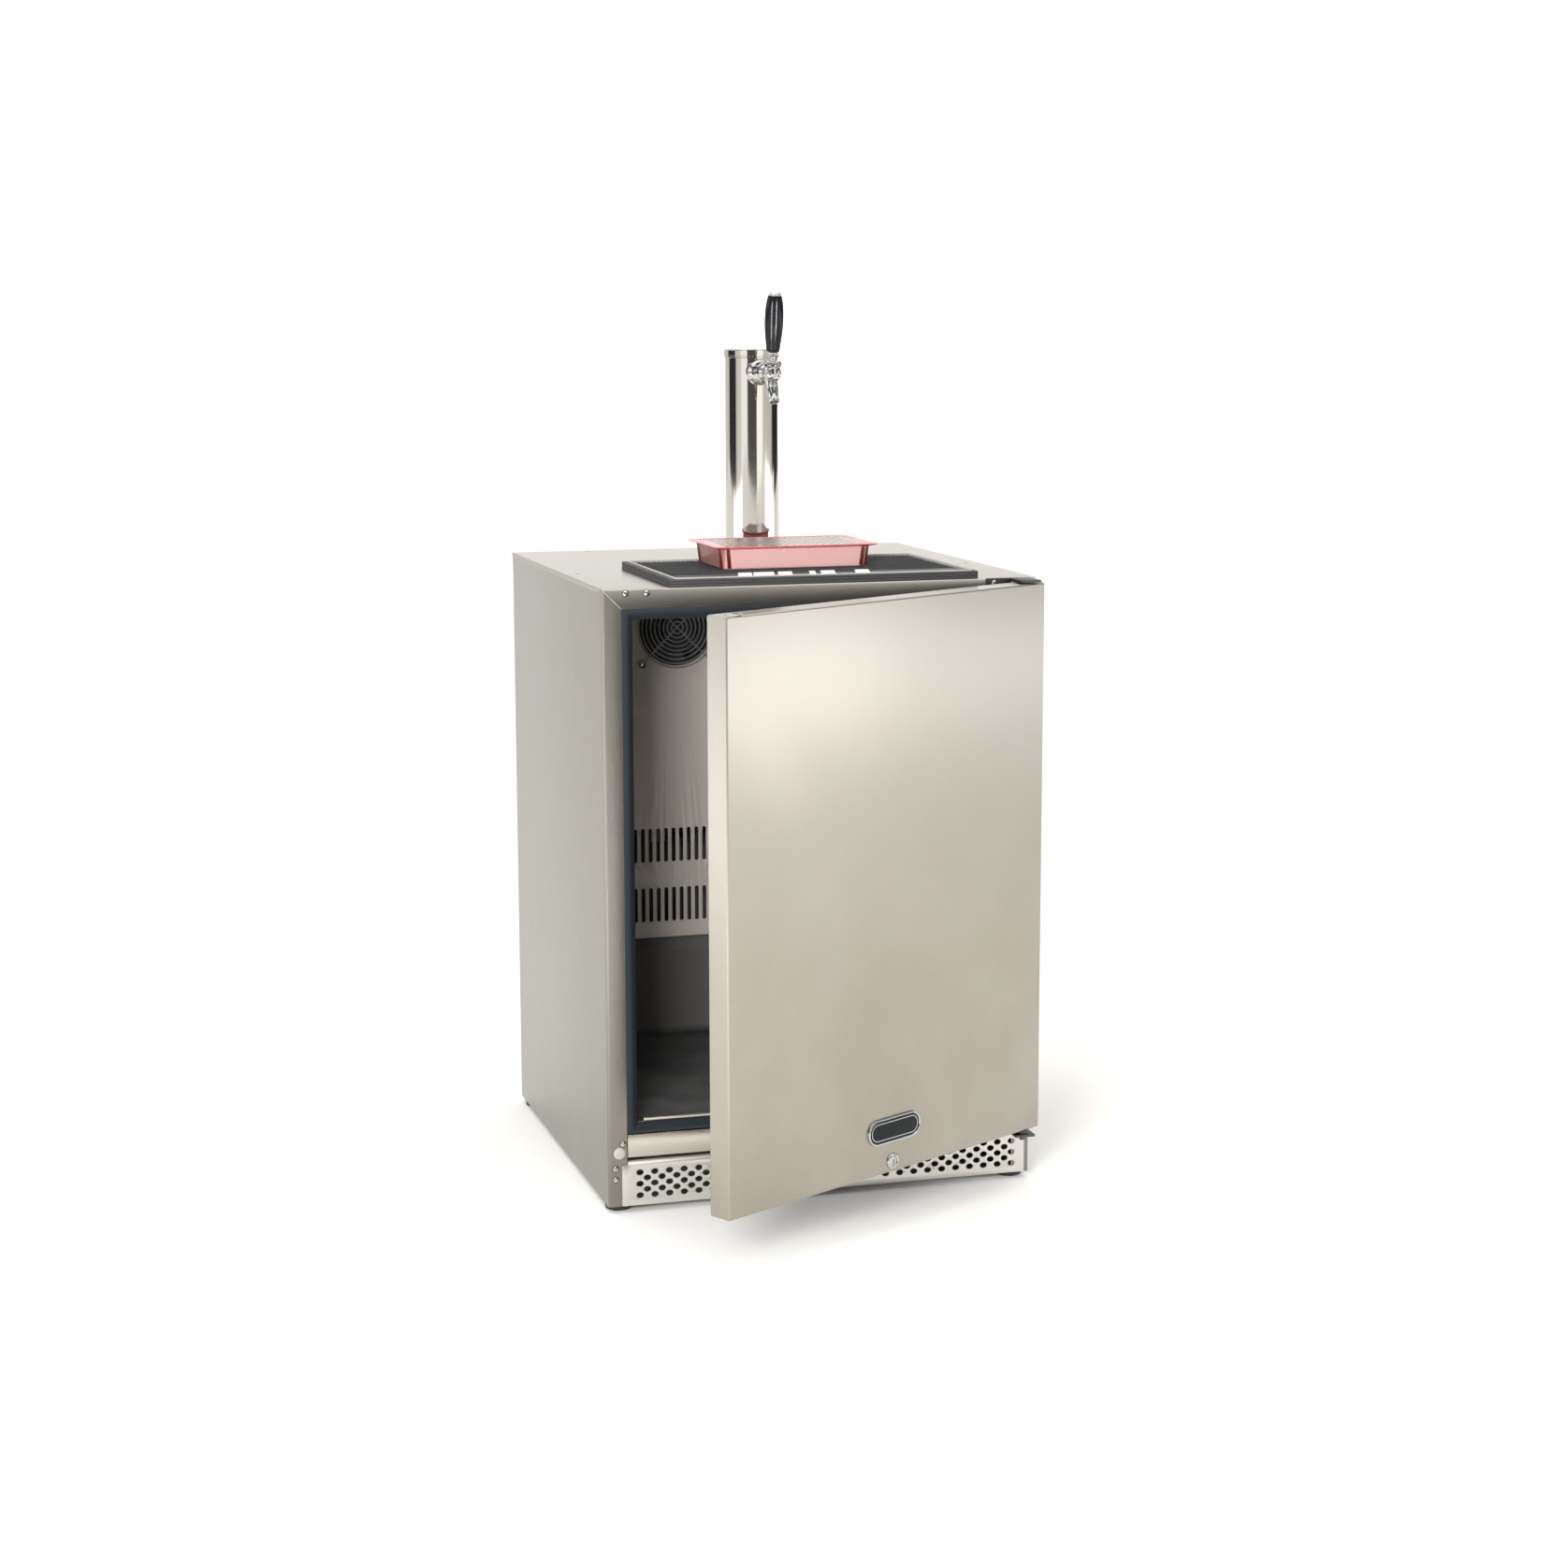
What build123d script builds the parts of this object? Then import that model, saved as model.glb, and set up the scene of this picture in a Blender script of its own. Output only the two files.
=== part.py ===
from build123d import *
import os
from math import cos, radians, sin

# Undercounter kegerator, millimetres, +Z up.
# Origin: on the floor, under the middle of the cabinet's front face.
# The front face is the plane y = 0 and +Y points to the back.

# ---- cabinet ----
CAB_HALF_W = 298.5
CAB_D = 594.0
CAB_BOTTOM = 9.0
CAB_TOP = 836.0
SHEET = 1.0
FLANGE_W = 26.0
TOP_FLANGE_H = 26.5
TOP_FOLD_T = 0.8
TOP_FOLD_H = 6.0
REAR_FLANGE_W = 20.0
BASE_FLANGE_W = 48.0
MITRE_GAP = 0.4

# ---- door opening and inner space ----
OPEN_HALF_W = 256.5
OPEN_BOTTOM = 121.0
OPEN_TOP = 795.0
FRAME_BOTTOM = 108.5
FRAME_FRONT = -1.0
FRAME_BACK = 10.0
FRAME_BEVEL = 8.0
LINER_T = 2.0
STEP_Y = 470.0
STEP_Z = 250.0
LINER_BACK_Y = 540.0
SILL_DEPTH = 18.0

# ---- insulation and machine compartment ----
FOAM_FRONT = 16.0
FOAM_BACK = 592.0
FOAM_BOTTOM = 95.0
MACHINE_FRONT_Y = 492.0
MACHINE_TOP = 226.0

# ---- bottom front ----
RAIL_Z0 = 75.8
RAIL_Z1 = 106.9
RAIL_HALF_W = 271.5
GRILLE_X0 = -280.0
GRILLE_X1 = 291.0
GRILLE_Z0 = 9.5
GRILLE_Z1 = 66.0
GRILLE_T = 1.2
GRILLE_LIP = 5.0
HOLE_FIRST_X = -255.6
HOLE_PITCH_X = 20.3
HOLE_PITCH_Z = 15.8
HOLE_MID_Z = 38.9
HOLE_COLUMNS = 27
HOLE_W = 10.0
HOLE_H = 7.8

# ---- levelling feet ----
FOOT_X = 279.0
FOOT_Y = (28.0, 566.0)
FOOT_R = 18.0
FOOT_DISC_H = 8.0
STUD_R = 5.0
STUD_TOP = 36.0
STUD_CLEARANCE = 0.06
PAN_Z0 = 10.0
PAN_T = 1.5
NUT_H = 10.0

# ---- evaporator side ----
COVER_Y = 450.0
COVER_T = 1.2
COVER_HALF_W = 250.0
COVER_Z0 = 273.0
COVER_Z1 = 793.5
FAN_X = -85.6
FAN_Z = 733.0
FAN_HALF = 60.0
FAN_DEPTH = 25.0
FAN_BORE_R = 58.0
FAN_HOLE_R = 56.0
FAN_SCREW_OFFSET = 52.5
GUARD_RING_R = 59.0
GUARD_PITCH = 6.3
GUARD_RINGS = 9
GUARD_WIRE_R = 1.0
GUARD_Y = 446.6
SLOT_PITCH = 11.6
SLOTS_EACH_SIDE = 17
SLOT_W = 6.0
SLOT_ROWS = ((386.0, 436.6), (296.6, 347.7))

THERMOSTAT_X = 190.0
THERMOSTAT_Z = 781.0
THERMOSTAT_Y = 60.0
KNOB_Y0 = 44.0
KNOB_Y1 = 59.4

# ---- machine compartment ----
COMP_X = 140.0
COMP_Y = 541.0
COMP_Z = PAN_Z0 + PAN_T + 12
COMP_BOLT_X = 74.0
COMP_BOLT_Y = 36.0
PIPE_Z = 205.0
PIPE_R = 3.0
CONDENSER_FAN_Y = 542.0
CONDENSER_FAN_Z = 104.0
GLAND_X = -240.0
GLAND_Z = 45.0
GLAND_R = 9.0
GLAND_BORE_R = 4.25

# ---- door, in its closed place ----
HINGE_X = 276.0
HINGE_Y = -34.0
DOOR_OPEN_DEG = 29.3
DOOR_X0 = -298.5
DOOR_X1 = 297.5
DOOR_FRONT = -45.0
DOOR_BACK = -12.0
DOOR_Z0 = 81.4
DOOR_Z1 = 831.4
DOOR_RETURN = 18.0
DOOR_BOTTOM_RETURN = 26.6
PIN_R = 4.0
PIN_CLEARANCE = 0.06
BUSH_R = 7.0
BUSH_L = 15.0
GASKET_T = 10.7
GASKET_HALF_W = 275.0
GASKET_W = 15.0
DYKE_HALF_W = 238.0
DYKE_Z0 = 140.0
DYKE_Z1 = 776.0
DYKE_DEPTH = 20.0
DOOR_PLUG_R = 11.5
BADGE_X = 2.0
BADGE_Z = 139.4
BADGE_L = 100.0
BADGE_H = 35.0
BADGE_T = 3.0
LOCK_X = 0.0
LOCK_Z = 95.9
LOCK_BARREL_R = 9.4
LOCK_PLUG_R = 6.0
CAM_L = 22.0

# ---- draft tower and faucet ----
TOWER_Y = 345.0
TUBE_R = 38.1
TUBE_T = 1.2
TOWER_GASKET_T = 2.0
TOWER_FLANGE_R = 52.0
TOWER_FLANGE_T = 4.0
TOWER_SCREW_PCR = 46.0
CAP_SEAM_Z = 1124.0
CAP_TOP_Z = 1136.0
DUCT_R = 28.0
FAUCET_Z = 1104.0
SHANK_R = 11.1
BARREL_R = 11.5
SHAFT_R = 5.94
SHAFT_BORE_R = 6.0
LEVER_Y = 238.0
SPOUT_TOP = (0.0, 247.0, 1098.0)
SPOUT_END = (0.0, 229.7, 1064.9)
SPOUT_R = 9.2
SPOUT_TIP_R = 7.6
SPOUT_BORE_R = 5.0
BALL_Z = 1119.0
BONNET_Z0 = 1116.0
BALL_R = 6.5
LEVER_LEAN_DEG = 8.0
LEVER_ARM = 14.6
HANDLE_BASE = 15.5
HANDLE_H = 80.5

# ---- serving set on the top ----
MAT_X = 7.0
MAT_W = 424.0
MAT_Y0 = 3.0
MAT_D = 285.0
MAT_H = 10.0
MAT_BORDER = 9.0
TRAY_Y = 192.0
TRAY_Z0 = CAB_TOP + 9.3
TRAY_H = 31.4
TRAY_W = 222.0
TRAY_D = 147.0
TRAY_WALL = 2.5
GRID_W = 204.0
GRID_D = 129.0
GRID_T = 1.5
RAIL_HOLES = ((-280.0, 227.0), (280.0, 227.0), (-189.0, 578.0), (189.0, 578.0))
RAIL_HOLE_R = 2.75


# ---------------------------------------------------------------- helpers
def block(x0, x1, y0, y1, z0, z1):
    """Box between two corners."""
    place = Pos((x0 + x1) / 2, (y0 + y1) / 2, (z0 + z1) / 2)
    return place * Box(x1 - x0, y1 - y0, z1 - z0)


def rod_x(y, z, x0, x1, r):
    return Pos((x0 + x1) / 2, y, z) * Rot(0, 90, 0) * Cylinder(r, x1 - x0)


def rod_y(x, z, y0, y1, r):
    return Pos(x, (y0 + y1) / 2, z) * Rot(90, 0, 0) * Cylinder(r, y1 - y0)


def rod_z(x, y, z0, z1, r):
    return Pos(x, y, (z0 + z1) / 2) * Cylinder(r, z1 - z0)


def ring_z(x, y, z0, z1, r_out, r_in):
    return rod_z(x, y, z0, z1, r_out) - rod_z(x, y, z0 - 1, z1 + 1, r_in)


def prism_x(points, x0, x1):
    """Outline of (y, z) points, carried along X."""
    face = Plane.YZ.offset(x0) * Polygon(*points, align=None)
    return extrude(face, x1 - x0, dir=(1, 0, 0))


def prism_y(points, y0, y1):
    """Outline of (x, z) points, carried along Y."""
    return plate_y(Polygon(*points, align=None), y0, y1)


def plate_y(sketch, y0, y1):
    """Sketch in X and Z, made into a plate between two depths."""
    face = Plane((0, y0, 0), x_dir=(1, 0, 0), z_dir=(0, -1, 0)) * sketch
    return extrude(face, y1 - y0, dir=(0, 1, 0))


def rounded_plate(x, y, w, d, z0, z1, r):
    return Pos(x, y, z0) * extrude(RectangleRounded(w, d, r), z1 - z0)


def mirrored(shape):
    return mirror(shape, about=Plane.YZ)


def door_at_rest(shape):
    """Turn a door piece about the hinge line from closed to its rest angle."""
    return Pos(HINGE_X, HINGE_Y, 0) * Rot(0, 0, DOOR_OPEN_DEG) * Pos(-HINGE_X, -HINGE_Y, 0) * shape


def foot_places():
    """Foot centres, in order: front left, front right, rear left, rear right."""
    return [(sign * FOOT_X, y) for y in FOOT_Y for sign in (-1, 1)]


def tower_screw_places():
    angles = [radians(angle) for angle in (45, 135, 225, 315)]
    return [(TOWER_SCREW_PCR * cos(a), TOWER_Y + TOWER_SCREW_PCR * sin(a)) for a in angles]


def guard_screw_places():
    reach = FAN_SCREW_OFFSET
    return [(FAN_X + sx * reach, FAN_Z + sz * reach) for sx in (-1, 1) for sz in (-1, 1)]


def screw_y(x, z, y_face, r=4.0):
    """Pan-head screw whose head lies on a face that looks towards -Y."""
    head = rod_y(x, z, y_face - 2.2, y_face, r)
    head = fillet(head.edges().sort_by(Axis.Y)[0], 1.2)
    return head + rod_y(x, z, y_face, y_face + 6, r * 0.45)


# ---------------------------------------------------------------- cabinet body
def side_panel_left():
    w = CAB_HALF_W
    sheet = block(-w, -w + SHEET, 0, CAB_D, CAB_BOTTOM, CAB_TOP - SHEET)
    flange = prism_y(
        [
            (-w, CAB_BOTTOM),
            (-w + FLANGE_W, CAB_BOTTOM),
            (-w + FLANGE_W, CAB_TOP - TOP_FLANGE_H - MITRE_GAP),
            (-w, CAB_TOP - SHEET - MITRE_GAP),
        ],
        0,
        SHEET,
    )
    inner = block(-w + FLANGE_W - SHEET, -w + FLANGE_W, 0, 12, FRAME_BOTTOM, CAB_TOP - TOP_FLANGE_H - 2)
    rear = block(-w, -w + REAR_FLANGE_W, CAB_D - SHEET, CAB_D, CAB_BOTTOM, CAB_TOP - SHEET)
    base = block(-w, -w + BASE_FLANGE_W, 0, CAB_D, CAB_BOTTOM, PAN_Z0)
    panel = sheet + flange + inner + rear + base
    for y in FOOT_Y:
        panel -= rod_z(-FOOT_X, y, CAB_BOTTOM - 1, PAN_Z0 + 1, STUD_R + 1)
    return panel


def side_panel_right():
    return mirrored(side_panel_left())


def top_panel():
    w = CAB_HALF_W
    sheet = block(-w, w, 0, CAB_D, CAB_TOP - SHEET, CAB_TOP)
    low = CAB_TOP - TOP_FOLD_H
    fold_outline = [(0, CAB_TOP), (0, CAB_TOP - 2), (30, low), (CAB_D, low), (CAB_D, CAB_TOP)]
    fold = prism_x(fold_outline, -w - TOP_FOLD_T, -w)
    z0 = CAB_TOP - TOP_FLANGE_H
    z1 = CAB_TOP - SHEET
    x_high = w - SHEET - MITRE_GAP
    x_low = w - FLANGE_W - MITRE_GAP
    flange = prism_y([(-x_high, z1), (x_high, z1), (x_low, z0), (-x_low, z0)], 0, SHEET)
    rear = block(-w + 22, w - 22, CAB_D - SHEET, CAB_D, CAB_TOP - 22, CAB_TOP - SHEET)
    panel = sheet + fold + mirrored(fold) + flange + rear
    panel -= rod_z(0, TOWER_Y, CAB_TOP - 3, CAB_TOP + 1, DUCT_R)
    for x, y in RAIL_HOLES:
        panel -= rod_z(x, y, CAB_TOP - 3, CAB_TOP + 1, RAIL_HOLE_R)
    return panel


def back_panel():
    x = CAB_HALF_W - 2
    return block(-x, x, FOAM_BACK, CAB_D - SHEET, MACHINE_TOP + 2, CAB_TOP - SHEET)


def machine_cover():
    x = CAB_HALF_W - REAR_FLANGE_W - 1.5
    z0, z1 = PAN_Z0 + 3, MACHINE_TOP
    plate = Pos(0, (z0 + z1) / 2) * Rectangle(2 * x, z1 - z0)
    louvres = [
        Pos(column * 24, z) * SlotOverall(34, 5, rotation=90)
        for z in (86, 134, 182)
        for column in range(-10, 11)
    ]
    gland_hole = Pos(GLAND_X, GLAND_Z) * Circle(GLAND_R + 0.2)
    return plate_y(plate - louvres - gland_hole, CAB_D - SHEET, CAB_D)


def base_pan():
    w = CAB_HALF_W - SHEET - 0.3
    y0, y1 = 4.0, CAB_D - SHEET - 1
    pan = block(-w, w, y0, y1, PAN_Z0, PAN_Z0 + PAN_T)
    edge = block(-w, -w + SHEET, y0, y1, PAN_Z0, PAN_Z0 + 26)
    pan = pan + edge + mirrored(edge)
    for x, y in foot_places():
        pan += rod_z(x, y, PAN_Z0, PAN_Z0 + PAN_T + NUT_H, 9.0)
        pan -= rod_z(x, y, PAN_Z0 - 1, PAN_Z0 + PAN_T + NUT_H + 1, STUD_R + STUD_CLEARANCE)
    return pan


def bottom_rail():
    x = RAIL_HALF_W
    outline = [
        (0, RAIL_Z0),
        (18, RAIL_Z0),
        (18, RAIL_Z0 + SHEET),
        (SHEET, RAIL_Z0 + SHEET),
        (SHEET, RAIL_Z1 - SHEET),
        (14, RAIL_Z1 - SHEET),
        (14, RAIL_Z1),
        (0, RAIL_Z1),
    ]
    return prism_x(outline, -x, x)


def kick_grille():
    centre = Pos((GRILLE_X0 + GRILLE_X1) / 2, (GRILLE_Z0 + GRILLE_Z1) / 2)
    plate = centre * Rectangle(GRILLE_X1 - GRILLE_X0, GRILLE_Z1 - GRILLE_Z0)
    places = []
    for column in range(HOLE_COLUMNS):
        x = HOLE_FIRST_X + column * HOLE_PITCH_X
        places += [(x, row) for row in (-1, 0, 1)]
        if column < HOLE_COLUMNS - 1:
            places += [(x + HOLE_PITCH_X / 2, row) for row in (-0.5, 0.5)]
    oval = Ellipse(HOLE_W / 2, HOLE_H / 2)
    holes = [Pos(x, HOLE_MID_Z + row * HOLE_PITCH_Z) * oval for x, row in places]
    sheet = plate_y(plate - holes, -GRILLE_T, 0)
    t = GRILLE_T
    lip_outline = [
        (-t, GRILLE_Z1),
        (0, GRILLE_Z1),
        (GRILLE_LIP, GRILLE_Z1 + GRILLE_LIP - t / 2),
        (GRILLE_LIP - t, GRILLE_Z1 + GRILLE_LIP),
    ]
    lip = prism_x(lip_outline, -RAIL_HALF_W, RAIL_HALF_W)
    return sheet + lip


def front_frame():
    x_out = CAB_HALF_W - FLANGE_W
    z_top = CAB_TOP - TOP_FLANGE_H
    body = block(-x_out, x_out, FRAME_FRONT, FRAME_BACK, FRAME_BOTTOM, z_top)
    body -= block(-OPEN_HALF_W, OPEN_HALF_W, FRAME_FRONT - 1, FRAME_BACK + 1, OPEN_BOTTOM, OPEN_TOP)
    z_mid = (OPEN_BOTTOM + OPEN_TOP) / 2
    wide = 2 * OPEN_HALF_W + 2 * FRAME_BEVEL
    tall = OPEN_TOP - OPEN_BOTTOM + 2 * FRAME_BEVEL
    front = Plane((0, FRAME_FRONT, z_mid), x_dir=(1, 0, 0), z_dir=(0, 1, 0)) * Rectangle(wide, tall)
    body -= extrude(front, FRAME_BEVEL, taper=45)
    return body


def sill_strip():
    x = OPEN_HALF_W - 1
    return block(-x, x, FRAME_BACK, FRAME_BACK + SILL_DEPTH, OPEN_BOTTOM, OPEN_BOTTOM + 1)


def liner_outline(t):
    """Side outline of the inner space, grown outwards by t."""
    return [
        (FRAME_BACK, OPEN_BOTTOM - t),
        (STEP_Y + t, OPEN_BOTTOM - t),
        (STEP_Y + t, STEP_Z - t),
        (LINER_BACK_Y + t, STEP_Z - t),
        (LINER_BACK_Y + t, OPEN_TOP + t),
        (FRAME_BACK, OPEN_TOP + t),
    ]


def liner_outer():
    return prism_x(liner_outline(LINER_T), -OPEN_HALF_W - LINER_T, OPEN_HALF_W + LINER_T)


def inner_liner():
    shell = liner_outer() - prism_x(liner_outline(0), -OPEN_HALF_W, OPEN_HALF_W)
    shell -= block(-OPEN_HALF_W, OPEN_HALF_W, FRAME_BACK - 1, FRAME_BACK + 1, OPEN_BOTTOM, OPEN_TOP)
    return shell - rod_z(0, TOWER_Y, OPEN_TOP - 1, OPEN_TOP + LINER_T + 1, DUCT_R)


def cabinet_foam():
    x = CAB_HALF_W - SHEET
    outline = [
        (FOAM_FRONT, FOAM_BOTTOM),
        (MACHINE_FRONT_Y, FOAM_BOTTOM),
        (MACHINE_FRONT_Y, MACHINE_TOP + 2),
        (FOAM_BACK, MACHINE_TOP + 2),
        (FOAM_BACK, CAB_TOP - SHEET),
        (FOAM_FRONT, CAB_TOP - SHEET),
    ]
    foam = prism_x(outline, -x, x) - liner_outer()
    foam -= block(-OPEN_HALF_W - 2, OPEN_HALF_W + 2, 0, FOAM_FRONT + 1, OPEN_BOTTOM - 2, OPEN_TOP + 2)
    foam -= block(-RAIL_HALF_W - 1, RAIL_HALF_W + 1, 0, 19, RAIL_Z0, RAIL_Z1 + 1)
    foam -= rod_z(0, TOWER_Y, OPEN_TOP, CAB_TOP, DUCT_R + 2)
    for x_hole, y_hole in RAIL_HOLES:
        foam -= rod_z(x_hole, y_hole, CAB_TOP - 30, CAB_TOP, RAIL_HOLE_R + 2)
    return foam


def tower_sleeve():
    return ring_z(0, TOWER_Y, OPEN_TOP + LINER_T, CAB_TOP - SHEET, DUCT_R + 2, DUCT_R)


def hole_plug():
    """Round plastic plug in the unused lower hinge hole of the left post."""
    head = fillet(rod_y(-283, 82.2, -2.2, 0, 8).edges().sort_by(Axis.Y)[0], 1.2)
    return head + rod_y(-283, 82.2, 0, SHEET, 4)


def cabinet_screws():
    places = [(-267.1, 830), (-238.8, 830), (-277.8, 95), (-288.2, 61.4), (-288.2, 46.4)]
    screws = [screw_y(x, z, 0) for x, z in places]
    screws += [screw_y(x, 830, -2, 3.6) for x in (239, 267)]
    screws += [screw_y(x, z, COVER_Y) for x, z in guard_screw_places()]
    top = CAB_TOP + TOWER_GASKET_T + TOWER_FLANGE_T
    for x, y in tower_screw_places():
        screws.append(rod_z(x, y, top, top + 2.4, 4) + rod_z(x, y, CAB_TOP, top, 2))
    return Compound(children=screws)


def levelling_foot(index):
    x, y = foot_places()[index]
    disc = rod_z(x, y, 0, FOOT_DISC_H, FOOT_R)
    disc = fillet(disc.edges().sort_by(Axis.Z)[-1], 2.5)
    return disc + rod_z(x, y, FOOT_DISC_H, STUD_TOP, STUD_R)


# ---------------------------------------------------------------- cold side
def evaporator_cover():
    mid_z = (COVER_Z0 + COVER_Z1) / 2
    plate = Pos(0, mid_z) * Rectangle(2 * COVER_HALF_W, COVER_Z1 - COVER_Z0)
    slots = []
    for z0, z1 in SLOT_ROWS:
        for i in range(-SLOTS_EACH_SIDE, SLOTS_EACH_SIDE + 1):
            slots.append(Pos(i * SLOT_PITCH, (z0 + z1) / 2) * SlotOverall(z1 - z0, SLOT_W, rotation=90))
    fan_hole = Pos(FAN_X, FAN_Z) * Circle(FAN_HOLE_R)
    front = plate_y(plate - slots - fan_hole, COVER_Y, COVER_Y + COVER_T)
    side = block(-COVER_HALF_W, -COVER_HALF_W + COVER_T, COVER_Y, LINER_BACK_Y - 1, COVER_Z0, COVER_Z1)
    lip = block(-COVER_HALF_W, COVER_HALF_W, COVER_Y, COVER_Y + 14, COVER_Z0, COVER_Z0 + COVER_T)
    return front + side + mirrored(side) + lip


def fan_guard():
    place = Pos(FAN_X, GUARD_Y, FAN_Z) * Rot(90, 0, 0)
    guard = Part()
    for i in range(GUARD_RINGS):
        guard += place * Torus(GUARD_RING_R - i * GUARD_PITCH, GUARD_WIRE_R)
    reach = FAN_SCREW_OFFSET * 2**0.5 - 4.2
    spoke = Pos(FAN_X, GUARD_Y + 1.2, FAN_Z) * Rot(0, 45, 0) * Cylinder(1.1, 2 * reach)
    cross = Pos(FAN_X, GUARD_Y + 1.2, FAN_Z) * Rot(0, -45, 0) * Cylinder(1.1, 2 * reach)
    guard += spoke + cross
    for x, z in guard_screw_places():
        guard += Pos(x, GUARD_Y + 1.2, z) * Rot(90, 0, 0) * Torus(5.3, GUARD_WIRE_R)
    return guard


def axial_frame(half, depth, bore_r, hub_r):
    """Square fan housing about the origin, with its motor hub and struts at the +Z end."""
    frame = Box(2 * half, 2 * half, depth) - Cylinder(bore_r, depth + 2)
    back = depth / 2
    frame += Pos(0, 0, back - 3) * Cylinder(hub_r, 6)
    for angle in (45, 135, 225, 315):
        length = bore_r - hub_r + 4
        strut = Pos(hub_r - 2 + length / 2, 0, back - 2) * Box(length, 4, 4)
        frame += Rot(0, 0, angle) * strut
    return frame


def axial_rotor(depth, tip_r, hub_r, blades=7):
    """Hub and pitched blades about the origin, turning about Z."""
    rotor = Cylinder(hub_r, depth)
    for i in range(blades):
        length = tip_r - hub_r + 1
        blade = Pos(hub_r - 1 + length / 2, 0, 0) * Rot(38, 0, 0) * Box(length, 22, 1.4)
        rotor += Rot(0, 0, i * 360 / blades) * blade
    return rotor


def evap_place(y):
    return Pos(FAN_X, y, FAN_Z) * Rot(-90, 0, 0)


def evap_fan_frame():
    frame = axial_frame(FAN_HALF, FAN_DEPTH, FAN_BORE_R, 20)
    return evap_place(COVER_Y + COVER_T + FAN_DEPTH / 2) * frame


def evap_fan_rotor():
    return evap_place(COVER_Y + COVER_T + 9.2) * axial_rotor(16, 54, 21)


def fin_block(x0, x1, y0, y1, z0, z1, fins, tube_rows):
    """Finned coil: upright fins along X, tied by tubes that run along X."""
    coil = Part()
    pitch = (x1 - x0 - 12) / (fins - 1)
    for i in range(fins):
        x = x0 + 6 + i * pitch
        coil += block(x - 0.5, x + 0.5, y0, y1, z0, z1)
    for y in (y0 + (y1 - y0) * 0.28, y0 + (y1 - y0) * 0.72):
        for row in range(tube_rows):
            z = z0 + (row + 0.5) * (z1 - z0) / tube_rows
            coil += rod_x(y, z, x0, x1, 4.5)
    return coil


def evaporator_coil():
    return fin_block(-225, 225, 468, 532, 414, 650, 46, 5)


# ---------------------------------------------------------------- machine compartment
def grommet_places():
    return [(COMP_X + sx * COMP_BOLT_X, COMP_Y + sy * COMP_BOLT_Y) for sx in (-1, 1) for sy in (-1, 1)]


def compressor():
    plate = rounded_plate(COMP_X, COMP_Y, 172, 92, COMP_Z, COMP_Z + 3, 8)
    for x, y in grommet_places():
        plate -= rod_z(x, y, COMP_Z - 1, COMP_Z + 4, 4.5)
    shell = Pos(COMP_X, COMP_Y, COMP_Z + 3) * extrude(SlotOverall(146, 86), 132)
    shell = fillet(shell.edges().group_by(Axis.Z)[-1], 26)
    return plate + shell


def compressor_grommets():
    z = PAN_Z0 + PAN_T
    grommets = [rod_z(x, y, z, COMP_Z, 8) + rod_z(x, y, z, COMP_Z + 8, 4.2) for x, y in grommet_places()]
    return Compound(children=grommets)


def condenser_coil():
    return fin_block(-222, -172, 498, 586, 20, 190, 11, 5)


def condenser_place(x):
    return Pos(x, CONDENSER_FAN_Y, CONDENSER_FAN_Z) * Rot(0, 90, 0)


def condenser_fan_frame():
    return condenser_place(-154) * axial_frame(46, FAN_DEPTH, 44, 17)


def condenser_fan_rotor():
    return condenser_place(-158) * axial_rotor(14, 40, 18)


def bent_tube(points, bend_r, r):
    path = FilletPolyline(*points, radius=bend_r)
    end = Plane(origin=path @ 0, z_dir=path % 0)
    return sweep(end * Circle(r), path=path)


def refrigerant_lines():
    """Discharge pipe, liquid pipe with its drier, and suction pipe."""
    y, x_coil, x_rise = 520, -190, 20
    hot = [(66, y, 110), (x_rise, y, 110), (x_rise, y, PIPE_Z), (x_coil, y, PIPE_Z), (x_coil, y, 190)]
    discharge = bent_tube(hot, 12, PIPE_R)
    y, x_rise = 565, -20
    cool = [(x_coil, y, 190), (x_coil, y, PIPE_Z), (x_rise, y, PIPE_Z), (x_rise, y, MACHINE_TOP + 2)]
    liquid = bent_tube(cool, 12, PIPE_R) + rod_x(y, PIPE_Z, -140, -50, 9.5)
    suction = rod_z(COMP_X + 30, COMP_Y, COMP_Z + 135, MACHINE_TOP + 2, 4)
    return Compound(children=[discharge, liquid, suction])


def thermostat_box():
    x, y = THERMOSTAT_X, THERMOSTAT_Y
    body = block(x - 40, x + 40, y, y + 65, OPEN_TOP - 28, OPEN_TOP)
    body = fillet(body.edges().filter_by(Axis.Y).group_by(Axis.Z)[0], 4)
    return body + rod_y(x, THERMOSTAT_Z, y - 10, y + 1, 3)


def thermostat_knob():
    x, z = THERMOSTAT_X, THERMOSTAT_Z
    knob = rod_y(x, z, KNOB_Y0, KNOB_Y1, 11)
    knob = fillet(knob.edges().sort_by(Axis.Y)[0], 1.5)
    knob -= rod_y(x, z, KNOB_Y0 + 5, KNOB_Y1 + 1, 3.05)
    return knob + block(x - 1, x + 1, KNOB_Y0 - 0.8, KNOB_Y0 + 0.5, z + 2, z + 9)


def power_gland():
    """Strain relief in the rear cover, where a mains lead would pass."""
    x, z = GLAND_X, GLAND_Z
    gland = rod_y(x, z, CAB_D - SHEET - 8, CAB_D, GLAND_R)
    gland += rod_y(x, z, CAB_D, CAB_D + 3, GLAND_R + 4)
    gland += rod_y(x, z, CAB_D + 3, CAB_D + 12, GLAND_R - 1.5)
    return gland - rod_y(x, z, CAB_D - 15, CAB_D + 15, GLAND_BORE_R)


# ---------------------------------------------------------------- door (drawn closed, placed at rest)
def hinge_hole(z0, z1):
    return rod_z(HINGE_X, HINGE_Y, z0, z1, BUSH_R)


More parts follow.
